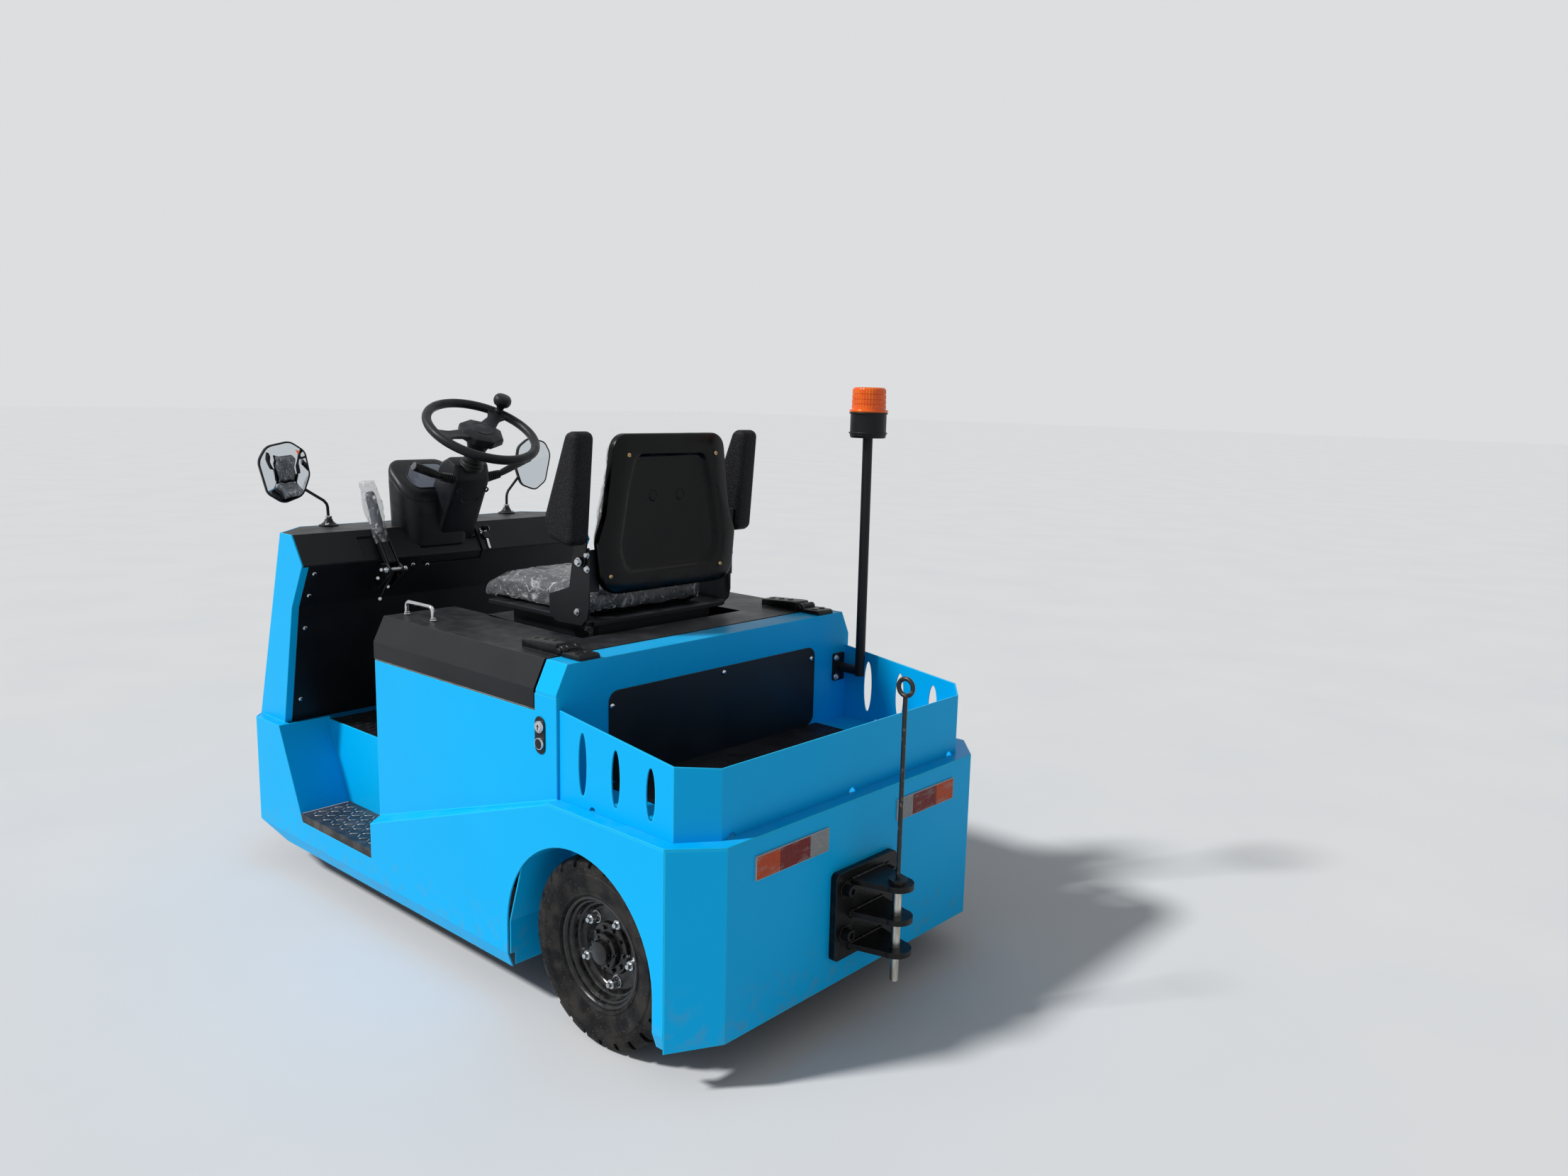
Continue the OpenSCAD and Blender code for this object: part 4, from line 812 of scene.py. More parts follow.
arms = [put(plate(side_bar, 0.004, 0.0006), from_left(lever_y + out)) for out in (0.0185, -0.0145)]
yoke = rounded([(1.497, 0.876, 0.006), (1.512, 0.8675, 0.006), (1.5745, 0.9455, 0.004),
                (1.5625, 0.9555, 0.004)], 4)
arms.append(put(plate(yoke, 0.024, 0.002), from_left(lever_y + 0.012)))
piece("lever_bars", arms, powder, "body", "lever_steel", crease=40)
across = aimed(spot(lever_pin[0], lever_y - 0.036, lever_pin[1]), (0, 1, 0))
bolt_head = stacked((0.0068, 0.003, 6), (0.0074, 0.004, 6), (0.0074, 0.0072, 6))
cross_bolt = turned([(0, 0.007), (0.009, 0.007), (0.009, 0.0085), (0.005, 0.0085), (0.005, 0.0245),
                     (0.0062, 0.025), (0.0062, 0.0475), (0.005, 0.048), (0.005, 0.0635), (0.0086, 0.0635),
                     (0.0086, 0.065), (0, 0.065)], 32)
lock_nut = stacked((0.0072, 0.065, 6), (0.0072, 0.0695, 6), (0.0064, 0.0702, 6), (0.0036, 0.0702),
                   (0.0034, 0.0725))
bolt_parts = [put(form, across) for form in (bolt_head, cross_bolt, lock_nut)]
for x, y, z in ((1.52, 0.275, 0.8325), (1.522, 0.244, 0.805), (1.535, 0.262, 0.770), (1.512, 0.268, 0.856)):
    small_bolt = stacked((0.0046, 0), (0.0046, 0.0008), (0.0035, 0.0009, 6), (0.0035, 0.0034, 6),
                         (0.003, 0.004))
    bolt_parts.append(put(small_bolt, aimed(spot(x, y, z), (-0.8, 0.4, 0.2), y * 9)))
piece("lever_bolts", bolt_parts, zinc, "body", "zinc")
# a black sheet inside the cowl stands in for the shade seen through the lever's slot and the opening round
# the column
shade_pan_section = [(1.576, 0.9436), (1.5345, 0.8825), (1.5865, 0.787), (1.5885, 0.788), (1.537, 0.8828),
               (1.578, 0.9424)]
piece("cowl_shade_pan", [skin([[spot(x, y, z) for x, z in shade_pan_section] for y in (-0.12, 0.318)])], powder, "body",
      "black_coat")
grip_foam = Finish("grip_foam", (72, 76, 84), 0.6, Specular_IOR_Level=0.25)
grip_foam.grain(0.0015, 0.0003)
grip_foam.tint(grip_foam.cloud(0.008, 0.4, 0.7), (88, 92, 100))
grip_low, grip_high = spot(1.574, lever_y, 0.969), spot(1.6165, lever_y, 1.0635)
grip_path = [grip_low.lerp(grip_high, k / 12) for k in range(13)]
grip_radii = [0.0115, 0.0145, 0.0152, 0.0148, 0.0145, 0.0143, 0.0142, 0.0142, 0.0142, 0.0143, 0.0144, 0.0138,
              0.0105]
grip = piece("lever_grip", [bar(grip_path, grip_radii, 24)], grip_foam, "body", "arm_foam", crease=60)

# The clear film is thin shipping plastic that was never taken off: a bag on the brake's grip, and
# sheets over the cushions. It is creased all over, and its whitish creases and glare patches are
# painted highlights.
film = Finish("clear_film", (150, 154, 160), 0.13, Coat_Weight=1.0, Coat_Roughness=0.08)
wander = film.add("TexNoise", {"Vector": film.scaled(0.07), "Scale": 1, "Detail": 2}).outputs["Color"]
wander = film.add("VectorMath", {0: wander, "Scale": 2.2}, operation="SCALE").outputs[0]


def creases(size, width, stretch):
    """Thin bent lines between patches about size metres across, most of them faint."""
    bent = film.add("VectorMath", {0: film.scaled(size, stretch), 1: wander}, operation="ADD").outputs[0]
    lines = film.add("TexVoronoi", {"Vector": bent, "Scale": 1}, feature="DISTANCE_TO_EDGE")
    return film.times(film.band(lines.outputs["Distance"], width, 0.0), film.cloud(size * 0.7, 0.5, 0.64))


def stronger(first, second):
    """The larger of two shares at each place."""
    return film.add("Math", {0: first, 1: second}, operation="MAXIMUM").outputs[0]


fine_creases = film.times(creases(0.026, 0.1, (2.4, 1, 1)), 0.6)
folds_share = stronger(creases(0.06, 0.075, (1, 2.6, 1.6)), fine_creases)
painted_glare = film.times(film.cloud(0.035, 0.5, 0.66, (1, 3.2, 1.6)), film.cloud(0.1, 0.4, 0.6))
edge_on = film.add("LayerWeight", {"Blend": 0.3}).outputs["Facing"]
film.relief(film.cloud(0.035, 0.3, 0.7), 0.006)
film.relief(folds_share, 0.003)
# painted highlights: the creases and glare patches are tinted near white
film.tint(stronger(folds_share, film.times(painted_glare, 0.7)), (248, 250, 253))
hazy = stronger(film.times(painted_glare, 0.6), film.times(edge_on, 0.25))
film.see_through(stronger(folds_share, hazy), 0.22, 0.9)
noise_shift = Vector((3, 1, 4))


def crumple(place, size, depth):
    """How far a crumpled film stands off at a place: sharp ridges and shallow hollows."""
    ridge = 1 - abs(noise.noise(place / size + noise_shift)) * 2.4
    return depth * (max(0.0, ridge) + 0.35 * noise.noise(place * 2.6 / size))


def sheet(name, form, body):
    """The film through a form, riding on a body."""
    mesh = bpy.data.meshes.new(name)
    form.to_mesh(mesh)
    form.free()
    mesh.shade_smooth()
    mesh.materials.append(film.material)
    made = bpy.data.objects.new(name, mesh)
    scene.collection.objects.link(made)
    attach(made, body)


def woven(rows):
    """A form through rows of points."""
    form = bmesh.new()
    made = [[form.verts.new(point) for point in row] for row in rows]
    for low, high in zip(made, made[1:]):
        for k in range(len(low) - 1):
            form.faces.new((low[k], low[k + 1], high[k + 1], high[k]))
    bmesh.ops.remove_doubles(form, verts=form.verts, dist=1e-6)
    return form


bag_axis = (grip_high - grip_low).normalized()
bag_side = Vector((0, 1, 0))
bag_fore = bag_axis.cross(bag_side)
bag_rows = []
bag_steps, bag_round = 34, 48
bag_foot, bag_length = -0.05, 0.186
bag_neck, bag_swell, least_reach = 0.0185, 0.0075, 0.0158
flat_from, flat_over, flattest = 0.09, 0.045, 0.45       # the open end lies flatter
for i in range(bag_steps + 1):
    along = bag_foot + bag_length * i / bag_steps
    swell = math.sin(math.pi * min(1.0, max(0.0, along / 0.13)))
    widest = bag_neck + bag_swell * swell + 0.05 * max(0.0, along - 0.1)
    row = []
    for k in range(bag_round + 1):
        turn = math.tau * k / bag_round
        flatten = 1.0 - flattest * min(1.0, max(0.0, (along - flat_from) / flat_over)) * abs(math.sin(turn))
        outward = bag_side * math.cos(turn) + bag_fore * math.sin(turn) * flatten
        place = grip_low + bag_axis * along
        reach = widest + crumple(place + outward * 0.03, 0.03, 0.0032)
        row.append(place + outward * max(reach, least_reach))
    bag_rows.append(row)
sheet("grip_bag", woven(bag_rows), "body")

# The key switch is on the cowl's slope, right of the column, with a chromed ring round its lock.
# One steel key with a moulded black head is in it, and a second hangs from the same split ring.
chrome = Finish("chrome", (206, 208, 210), 0.12, Metallic=1.0)
chrome.grain(0.004, 0.00003)
chrome.tint(chrome.cloud(0.01, 0.5, 0.75), (180, 180, 178))
chrome.polish(chrome.cloud(0.006, 0.45, 0.7), 0.25)

cowl_slope = Vector((0.053, 0, 0.078)).normalized()      # the cowl climbs 78 mm over 53 mm
cowl_normal = Vector((-cowl_slope.z, 0, cowl_slope.x))
lock = spot(1.562, -0.1, 0.9336)
lock_ring = put(turned([(0, 0), (0.0125, 0), (0.0125, 0.0028), (0.0112, 0.0042), (0.0085, 0.0046),
                        (0.008, 0.0036), (0, 0.0036)], 32), aimed(lock, cowl_normal))
key_head = rounded([(-0.011, 0, 0.004), (0.011, 0, 0.004), (0.0135, 0.012, 0.006), (0.0085, 0.023, 0.006),
                    (-0.0085, 0.023, 0.006), (-0.0135, 0.012, 0.006)], 4)
blade = rounded([(-0.0042, 0, 0), (0.0042, 0, 0), (0.0042, -0.03, 0.002), (0.001, -0.036, 0.001),
                 (-0.0038, -0.033, 0.002)], 3)
first_key = facing(lock + cowl_normal * 0.012 + Vector((0, 0.003, 0)), (0.25, 1, 0.1), cowl_normal)
second_key = facing(lock - cowl_slope * 0.026 + cowl_normal * 0.004 + Vector((0, -0.003, 0)),
                    (0, 1, 0.12), cowl_slope)
heads = [put(plate(key_head, 0.007, 0.0014), place, Matrix.Translation((0, 0, -0.0035)))
         for place in (first_key, second_key)]
piece("key_heads", heads, soft_rubber, "body", "black_plastic")
loop_middle = lock + cowl_normal * 0.028 - cowl_slope * 0.006
loop_r = 0.0075
loop_points = [loop_middle + (cowl_slope * math.cos(a) + cowl_normal * math.sin(a)) * loop_r
               for a in (math.tau * k / 24 for k in range(24))]
metal_parts = [lock_ring, bar(loop_points, 0.0008, 8, True)]
metal_parts.append(put(plate(blade, 0.002, 0.0004), second_key, Matrix.Translation((0, 0, -0.001))))
metal_parts.append(put(plate(blade, 0.002, 0.0004), first_key, Matrix.Translation((0, 0, -0.001)),
                       Matrix.Scale(0.33, 4, (0, 1, 0))))
piece("key_metal", metal_parts, chrome, "body", "chrome")

# The pedals are pressed steel plates on arms that come up through the floor. A ribbed rubber pad
# is pulled over each plate's edges, and the driver's boots keep it dull.
dress(soft_rubber, "pedals")

# The mirrors have thin black plastic backs and slightly domed glass. Each is on a bent steel
# stem that stands in a rubber cone on the cowl, held by one plated screw.
silver = Finish("mirror_glass", (214, 220, 224), 0.02, Metallic=1.0)
silver.relief(silver.cloud(0.15, 0.3, 0.7, detail=0), 0.0001)
silver.polish(silver.cloud(0.05, 0.5, 0.8), 0.06)
mirror_plan = rounded([(-0.012, 0.089, 0.034), (0.054, 0.075, 0.034), (0.079, 0.034, 0.04),
                       (0.056, -0.058, 0.03), (0.012, -0.087, 0.03), (-0.046, -0.067, 0.036),
                       (-0.068, -0.008, 0.04), (-0.056, 0.06, 0.034)], 5)
mirror_turn = math.radians(2)
mirror_seat = facing(spot(1.742, 0.417, 1.118), (math.sin(mirror_turn), math.cos(mirror_turn), 0), (0, 0, 1))
shell_levels = [(0.0035, -0.0025), (0.0035, -0.0045), (0, -0.003), (0, 0.004), (0.0015, 0.009),
                (0.006, 0.0145), (0.014, 0.0185), (0.026, 0.0212), (0.04, 0.0225)]
shells = [put(stepped(mirror_plan, shell_levels), mirror_seat)]
clamp = [(0, 0.016), (0.014, 0.016), (0.013, 0.026), (0.009, 0.031), (0, 0.032)]
shells.append(put(turned(clamp, 24), mirror_seat, Matrix.Translation((-0.012, -0.018, 0))))
socket = mirror_seat @ Vector((-0.012, -0.018, 0.027))
post = spot(1.728, 0.305, 0.963)
cone = [(0, 0), (0.027, 0), (0.0275, 0.003), (0.02, 0.006), (0.0125, 0.013), (0.0105, 0.019),
        (0, 0.02)]
shells.append(put(turned(cone), Matrix.Translation(post)))
knee = post + Vector((0.001, 0.0015, 0.066))
outward = (socket - knee).normalized()
stem = [post + Vector((0, 0, 0.008)), knee - Vector((0, 0, 0.012))]
stem += [knee.lerp(stem[1], 0.35) + outward * 0.003, knee + outward * 0.012, socket]
shells.append(bar(stem, 0.0042, 12))
# the glass is a shallow dome, so that it shows the whole of the driver's place
glass_bulge, glass_edge = 0.006, 0.945
glass_rings = [level_ring([(x * glass_edge, y * glass_edge) for x, y in mirror_plan], -0.001)]
for share in (glass_edge, 0.9, 0.84, 0.77, 0.69, 0.6, 0.5, 0.4, 0.3, 0.2, 0.1, 0.03):
    glass_rings.append(level_ring([(x * share, y * share) for x, y in mirror_plan],
                                  -0.003 - glass_bulge * (0.9 - share ** 2)))
mirror_glass = put(skin(glass_rings), mirror_seat)


def mirror_y(form):
    """The same form on the tug's other side."""
    other = form.copy()
    other.transform(Matrix.Scale(-1, 4, (0, 1, 0)))
    return mended(other)


def both(*forms):
    """Forms on the tug's left, each after its copy on the right."""
    return [made for form in forms for made in (mirror_y(form), form)]


def screw(radius, place, direction, turn):
    """A domed screw head with a cross drive pressed in."""
    star = [point * (0.52 if i % 6 < 1 else 0.2) for i, point in enumerate(ring(radius, 0))]
    rings = [ring(radius, 0), ring(radius, radius * 0.2), ring(radius * 0.93, radius * 0.42),
             ring(radius * 0.72, radius * 0.6), [point + Vector((0, 0, radius * 0.66)) for point in star],
             [point * 0.8 + Vector((0, 0, radius * 0.2)) for point in star]]
    return put(skin(rings), aimed(place, direction, turn))


foot_screw = screw(0.006, post + Vector((-0.014, 0.012, 0.006)), (-0.3, 0.3, 1), 0.4)
stem_collar = [(0, 0), (0.0085, 0), (0.0095, 0.002), (0.0095, 0.009), (0.0075, 0.0105), (0, 0.0105)]
collar = put(turned(stem_collar, 24), Matrix.Translation(post + Vector((0, 0, 0.019))))
piece("mirror_backs", shells + [mirror_y(form) for form in shells], plastic, "body", "black_plastic",
      "mirrors", crease=40)
piece("mirror_faces", both(mirror_glass), silver, "body", "lamp_glass", crease=40)
piece("mirror_screws", both(foot_screw, collar), chrome, "body", "chrome")

# The beacon's lens is a round amber plastic moulding with a flat top. Upright flutes run round it
# in bands, with a plain groove between each two, and its flange is screwed on the black base.
amber = Finish("amber_lens", (243, 92, 6), 0.16, Transmission_Weight=0.12, IOR=1.45)
amber.grain(0.003, 0.00005)
amber.patches(0.02, 0.4, 0.7, 0.5, (250, 132, 14))
# each level is (radius, height, 1 where it is fluted)
lens_levels = [(0.0485, 0, 0), (0.0492, 0.001, 0), (0.0492, 0.005, 0), (0.0485, 0.006, 0),
               (0.0432, 0.0062, 0), (0.0432, 0.0085, 0), (0.0428, 0.01, 1), (0.0426, 0.019, 1),
               (0.0414, 0.0195, 0), (0.0414, 0.0205, 0), (0.0426, 0.021, 1), (0.0424, 0.031, 1),
               (0.0412, 0.0315, 0), (0.0412, 0.0325, 0), (0.0424, 0.033, 1), (0.0421, 0.044, 1),
               (0.041, 0.0445, 0), (0.041, 0.0455, 0), (0.0421, 0.046, 1), (0.0416, 0.056, 1),
               (0.0408, 0.0585, 0), (0.038, 0.0615, 0), (0.033, 0.0622, 0), (0.031, 0.0612, 0),
               (0.012, 0.0612, 0), (0, 0.0625, 0)]
flutes, flute_depth = 36, 0.0007


def lens_ring(radius, height, fluted):
    """A level of the lens, with upright flutes where fluted is 1."""
    made = []
    for k in range(4 * flutes):
        turn = math.tau * k / (4 * flutes)
        reach = radius + fluted * flute_depth * math.cos(flutes * turn)
        made.append(Vector((reach * math.cos(turn), reach * math.sin(turn), height)))
    return made


beacon_x, beacon_y = 0.366, -0.445
dome = put(skin([lens_ring(*level) for level in lens_levels]),
           Matrix.Translation(spot(beacon_x, beacon_y, 1.327)))
piece("beacon_dome", [dome], amber, "body", "amber_lens", "beacon_lens", crease=50)

# The grab handle by the hood's left edge is a bent steel bar under bright chrome. It has a round
# foot at each end, and bolts from below hold it to the hood.
handle_y = 0.408
handle_x1, handle_x2 = 1.030, 1.148
handle_z, handle_rise = 0.7982, 0.034
corner, bend_steps = 0.012, 6
foot = [(0, 0), (0.0082, 0), (0.0085, 0.001), (0.0085, 0.003), (0.0065, 0.0045), (0.0065, 0.008),
        (0.0055, 0.009), (0, 0.009)]
path = [spot(handle_x1, handle_y, handle_z)]
for x, inward, start in ((handle_x1, 1, math.pi), (handle_x2, -1, math.pi / 2)):
    for k in range(bend_steps + 1):
        a = start - math.pi / 2 * k / bend_steps
        path.append(spot(x + inward * corner + corner * math.cos(a), handle_y,
                         handle_z + handle_rise - corner + corner * math.sin(a)))
path.append(spot(handle_x2, handle_y, handle_z))
handle = [bar(path, 0.005, 16)]
handle += [put(turned(foot, 24), Matrix.Translation(spot(x, handle_y, handle_z)))
           for x in (handle_x1, handle_x2)]
piece("handle", handle, chrome, "hood", "chrome", "grab_handle", crease=40)

# The seat's back is a pressed steel shell under satin black, with a turned edge, a wide pressed
# recess, two round holes for a headrest that isn't fitted, and four plated screws.
shell_black = Finish("shell_black", (6, 7, 9), 0.16, Specular_IOR_Level=0.17)
shell_black.soften(0.002)
shell_black.grain(0.0035, 0.00006)
shell_black.patches(0.08, 0.4, 0.7, 0.5, (10, 12, 14))
shell_black.polish(shell_black.cloud(0.05, 0.4, 0.7), 0.4)
shell_x = 0.618


def both_sides(corners):
    """An outline from its corners on one side, (half width, height, radius), top first."""
    return rounded(corners + [(-y, z, r) for y, z, r in reversed(corners)], 7)


def from_behind(x):
    """The move for an outline of (width to the left, height) points, its thickness forward."""
    return facing(spot(x, 0, 0), (0, 1, 0), (0, 0, 1))


shell_edge = both_sides([(0.176, 1.268, 0.042), (0.203, 1.078, 0.06), (0.2255, 1.02, 0.045),
                         (0.213, 0.892, 0.055)])
recess = both_sides([(0.114, 1.22, 0.03), (0.138, 1.135, 0.05), (0.162, 1.0, 0.06), (0.142, 0.938, 0.036)])
# (inset, depth) from the turned edge to the recess, and on to its floor
edge_levels = [(0.003, 0.022), (0, 0.021), (0, 0.0055), (0.0012, 0.002), (0.0045, 0)]
recess_levels = [(-0.004, 0), (-0.001, 0.0008), (0.0015, 0.003), (0.006, 0.0088), (0.009, 0.0104),
                 (0.014, 0.011)]
press = [level_ring(inset(shell_edge, by), depth) for by, depth in edge_levels]
press += [level_ring(inset(recess, by), depth) for by, depth in recess_levels]
hole_lip = [(0.0118, 0.004), (0.0118, -0.0006), (0.0128, -0.0012), (0.0142, -0.0006), (0.015, 0.002),
            (0.015, 0.004)]
hole_floor = [(0, -0.0004), (0.0119, -0.0004), (0.0119, 0.001), (0, 0.001)]
hole_seats = [facing(spot(shell_x + 0.0105, y, z), (0, 1, 0), (0, 0, 1))
              for y, z in ((0.050, 1.120), (-0.039, 1.119))]
back = [put(skin(press), from_behind(shell_x))]
back += [put(turned(hole_lip, 32, True), place) for place in hole_seats]
piece("seat_shell", back, shell_black, "hood", "black_coat", "seat_back_shell", crease=40)
holes = [put(turned(hole_floor, 32), place) for place in hole_seats]
piece("shell_holes", holes, shell_black, "hood", "black_plastic")
brassy = Finish("yellow_zinc", (186, 156, 112), 0.3, Metallic=1.0)
brassy.grain(0.0012, 0.00003)
brassy.tint(brassy.cloud(0.004, 0.4, 0.7), (150, 128, 96))
shell_screws = [screw(0.0058, spot(shell_x + 0.0002, y, z), (-1, 0, 0), y)
                for y, z in ((0.1375, 1.218), (-0.148, 1.217), (0.193, 0.936), (-0.169, 0.935))]
piece("shell_screws", shell_screws, brassy, "hood", "zinc")

# The cushions are black vinyl sewn over foam and swelled by it, and they lie in the pan and in the
# shell. The shipping film still covers them, drawn tight over the edges.
vinyl = Finish("seat_vinyl", (24, 24, 26), 0.42, Specular_IOR_Level=0.35)
vinyl.relief(vinyl.cells(0.0022, 0, 0.7), 0.00018)
vinyl.grain(0.03, 0.0008)
vinyl.patches(0.04, 0.4, 0.7, 0.5, (34, 34, 36))
grid_step, swell_pressure, swell_frames = 0.006, 3.0, 20


def swelled(form, name, cap):
    """A soft form as a piece, swelled by cloth simulation, with no point moved farther than cap."""
    mesh = bpy.data.meshes.new(name)
    form.to_mesh(mesh)
    form.free()
    made = bpy.data.objects.new(name, mesh)
    scene.collection.objects.link(made)
    bpy.context.view_layer.objects.active = made
    grid = made.modifiers.new("grid", "REMESH")
    grid.mode = "VOXEL"
    grid.voxel_size = grid_step
    bpy.ops.object.modifier_apply(modifier=grid.name)
    rest = [point.co.copy() for point in made.data.vertices]
    cloth = made.modifiers.new("cloth", "CLOTH")
    cloth.settings.use_pressure = True
    cloth.settings.uniform_pressure_force = swell_pressure
    cloth.settings.effector_weights.gravity = 0.0
    for moment in range(1, swell_frames + 1):
        scene.frame_set(moment)
    bpy.ops.object.modifier_apply(modifier=cloth.name)
    scene.frame_set(1)
    for point, old in zip(made.data.vertices, rest):
        moved = point.co - old
        if moved.length > cap:
            point.co = old + moved * (cap / moved.length)
    return made


def finish_cushion(made, floor_z):
    """Smooths a swelled cushion, keeps it flat where it rests and gives it its vinyl."""
    smooth = made.modifiers.new("smooth", "SMOOTH")
    smooth.factor = 0.5
    smooth.iterations = 6
    bpy.ops.object.modifier_apply(modifier=smooth.name)
    for point in made.data.vertices:
        point.co.z = max(point.co.z, floor_z)
    made.data.shade_smooth()
    made.data.materials.append(vinyl.material)
    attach(made, "hood")
    return made


def wrapping(cushion, keep, away, fold):
    """The film over a cushion: its faces that keep() picks, pushed off and creased."""
    form = bmesh.new()
    form.from_mesh(cushion.data)
    bmesh.ops.delete(form, geom=[face for face in form.faces if not keep(face)], context="FACES")
    form.normal_update()
    for point in form.verts:
        place = point.co
        # the creases run slantwise, as tight film is drawn
        drawn = Vector((place.x * 9 + place.y * 14, place.y * 24 - place.x * 13, place.z * 16))
        ridge = 1 - abs(noise.noise(drawn + noise_shift)) * 3.0
        ripple = noise.noise(Vector((place.x * 40, place.y * 60, place.z * 40)))
        point.co = place + point.normal * (away + fold * max(0.0, ridge) ** 1.5 + 0.001 * ripple)
    return form


pan_z = 0.826
# each level is (length, half width, underside, top)
seat_levels = [(0.69, 0.17, 0.842, 0.874), (0.70, 0.186, 0.832, 0.888), (0.72, 0.193, 0.829, 0.894),
               (0.80, 0.196, 0.828, 0.892), (0.95, 0.197, 0.828, 0.886), (1.03, 0.198, 0.828, 0.882),
               (1.08, 0.197, 0.826, 0.874), (1.12, 0.194, 0.822, 0.858), (1.14, 0.186, 0.822, 0.844),
               (1.147, 0.17, 0.825, 0.836)]
seat_rings = []
for x, half, low_z, top_z in seat_levels:
    crown = min(0.024, (top_z - low_z) * 0.45)
    section = rounded([(-half, low_z, crown * 0.5), (half, low_z, crown * 0.5), (half - 0.004, top_z, crown),
                       (half * 0.4, top_z + 0.004, 0.05), (-half * 0.4, top_z + 0.004, 0.05),
                       (-half + 0.004, top_z, crown)])
    seat_rings.append([spot(x, y, z) for y, z in section])
seat_pad = finish_cushion(swelled(skin(seat_rings), "seat_pad", 0.012), pan_z + 0.0005)
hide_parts("seat_cushion")
seat_cover = wrapping(seat_pad, lambda face: face.normal.z > -0.5, 0.0022, 0.004)
sheet("seat_film", seat_cover, "hood")

# a torn end of the film hangs below the pan on the left
scrap_x, scrap_y, scrap_z = 0.672, 0.199, 0.834
along_step, down_step = 0.0042, 0.0058
scrap_rows = []
for down in range(11):
    row = []
    for along in range(15):
        wave = 0.004 * math.sin(along * 1.1 + down * 0.35)
        place = spot(scrap_x + along_step * along, scrap_y - 0.0012 * along + wave,
                     scrap_z - down_step * down * (1 - 0.03 * along))
        row.append(place + Vector((0.3, 1, 0)) * crumple(place, 0.02, 0.003))
    scrap_rows.append(row)
sheet("film_scrap", woven(scrap_rows), "hood")

back_edge = both_sides([(0.15, 1.262, 0.04), (0.19, 1.085, 0.06), (0.203, 1.015, 0.05), (0.185, 0.912, 0.04)])
back_levels = [(0.006, 0.0225), (0, 0.028), (0, 0.052), (0.01, 0.068), (0.03, 0.076), (0.06, 0.078)]
back_form = put(stepped(back_edge, back_levels), from_behind(shell_x))
back_pad = finish_cushion(swelled(back_form, "back_pad", 0.01), 0.0)
shell_front = tail + shell_x + 0.0222
for point in back_pad.data.vertices:
    point.co.x = max(point.co.x, shell_front)
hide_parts("seat_back_cushion")
back_cover = wrapping(back_pad, lambda face: face.normal.x > -0.6, 0.002, 0.0035)
sheet("back_film", back_cover, "hood")

# The armrests are self-skinned foam with a pebbled face, moulded on steel brackets that pivot
# on bolts beside the back.
foam = Finish("arm_foam", (18, 18, 20), 0.6, Specular_IOR_Level=0.18)
foam.relief(foam.cells(0.0042, 0, 0.75), 0.0007)
foam.grain(0.0016, 0.0002)
foam.tint(foam.times(foam.cells(0.0042, 0.5, 0.1), 0.4), (62, 62, 66))
arm_edge = rounded([(0.609, 1.274, 0.018), (0.654, 1.273, 0.024), (0.737, 1.07, 0.04), (0.722, 1.026, 0.026),
                    (0.631, 1.008, 0.022)], 8)
# (inset, distance from the tug's middle), from the bracket outward
arm_levels = [(0.014, 0.2441), (0.0075, 0.245), (0.0025, 0.2485), (0, 0.2545), (0, 0.286),
              (0.0026, 0.293), (0.0085, 0.2972), (0.016, 0.2982)]
strap = rounded([(0.6535, 0.9585, 0.01), (0.6805, 0.9585, 0.01), (0.7, 1.04, 0.01), (0.7, 1.07, 0),
                 (0.64, 1.07, 0), (0.6475, 0.991, 0.01)], 5)
strap_y, strap_t = 0.2438, 0.0052
for side, name in ((1, "left"), (-1, "right")):
    turn_over = Matrix.Scale(side, 4, (0, 1, 0))
    arm = skin([[spot(x, y, z) for x, z in inset(arm_edge, by)] for by, y in arm_levels])
    pad = piece("arm_pad_" + name, [mended(put(arm, turn_over))], foam, "arm_" + name, "arm_foam",
                "armrest_" + name, crease=60)
    bar_plate = mended(put(plate(strap, strap_t, 0.0006), turn_over, from_left(strap_y)))
    piece("arm_strap_" + name, [bar_plate], satin, "arm_" + name, "black_coat")
    bolt = stacked((0.0108, 0), (0.0108, 0.0016), (0.008, 0.0018, 6), (0.008, 0.0064, 6),
                   (0.0068, 0.0073))
    pivot = facing(spot(0.667, 0.2482, 0.971), (1, 0, 0), (0, 0, -1))
    piece("arm_bolt_" + name, [mended(put(bolt, turn_over, pivot))], zinc, "hood", "zinc")

# Zinc-plated bolts with flat washers hold the brackets at the seat's sides: on each side two at
# the foot of the back, and one at the pan.
bracket_y = 0.238
bolts = []
for x, z in ((0.648, 0.988), (0.648, 0.955), (0.6855, 0.849)):
    head = stacked((0.0084, 0), (0.0084, 0.0014), (0.0062, 0.0015, 6), (0.0062, 0.0055, 6),
                   (0.0052, 0.0061))
    bolts += both(put(head, facing(spot(x, bracket_y, z), (1, 0, 0), (0, 0, -1))))
piece("bracket_bolts", bolts, zinc, "hood", "zinc")

# The tail lamps are moulded plastic reflex panels, amber, red and clear, with upright ribs under
# dulled and scratched faces. They sit in a shallow grey tray that is screwed on the rear skirt.
pale = Finish("pale_plastic", (176, 178, 180), 0.4)
pale.grain(0.003, 0.00004)
pale.tint(pale.cloud(0.01, 0.45, 0.7), (160, 160, 158))

lamp_z1, lamp_z2 = 0.4195, 0.4705
lamp_end, tray_end = 0.346, 0.347
rib_pitch, rib_gap, rib_edge = 0.0061, 0.0004, 0.0015
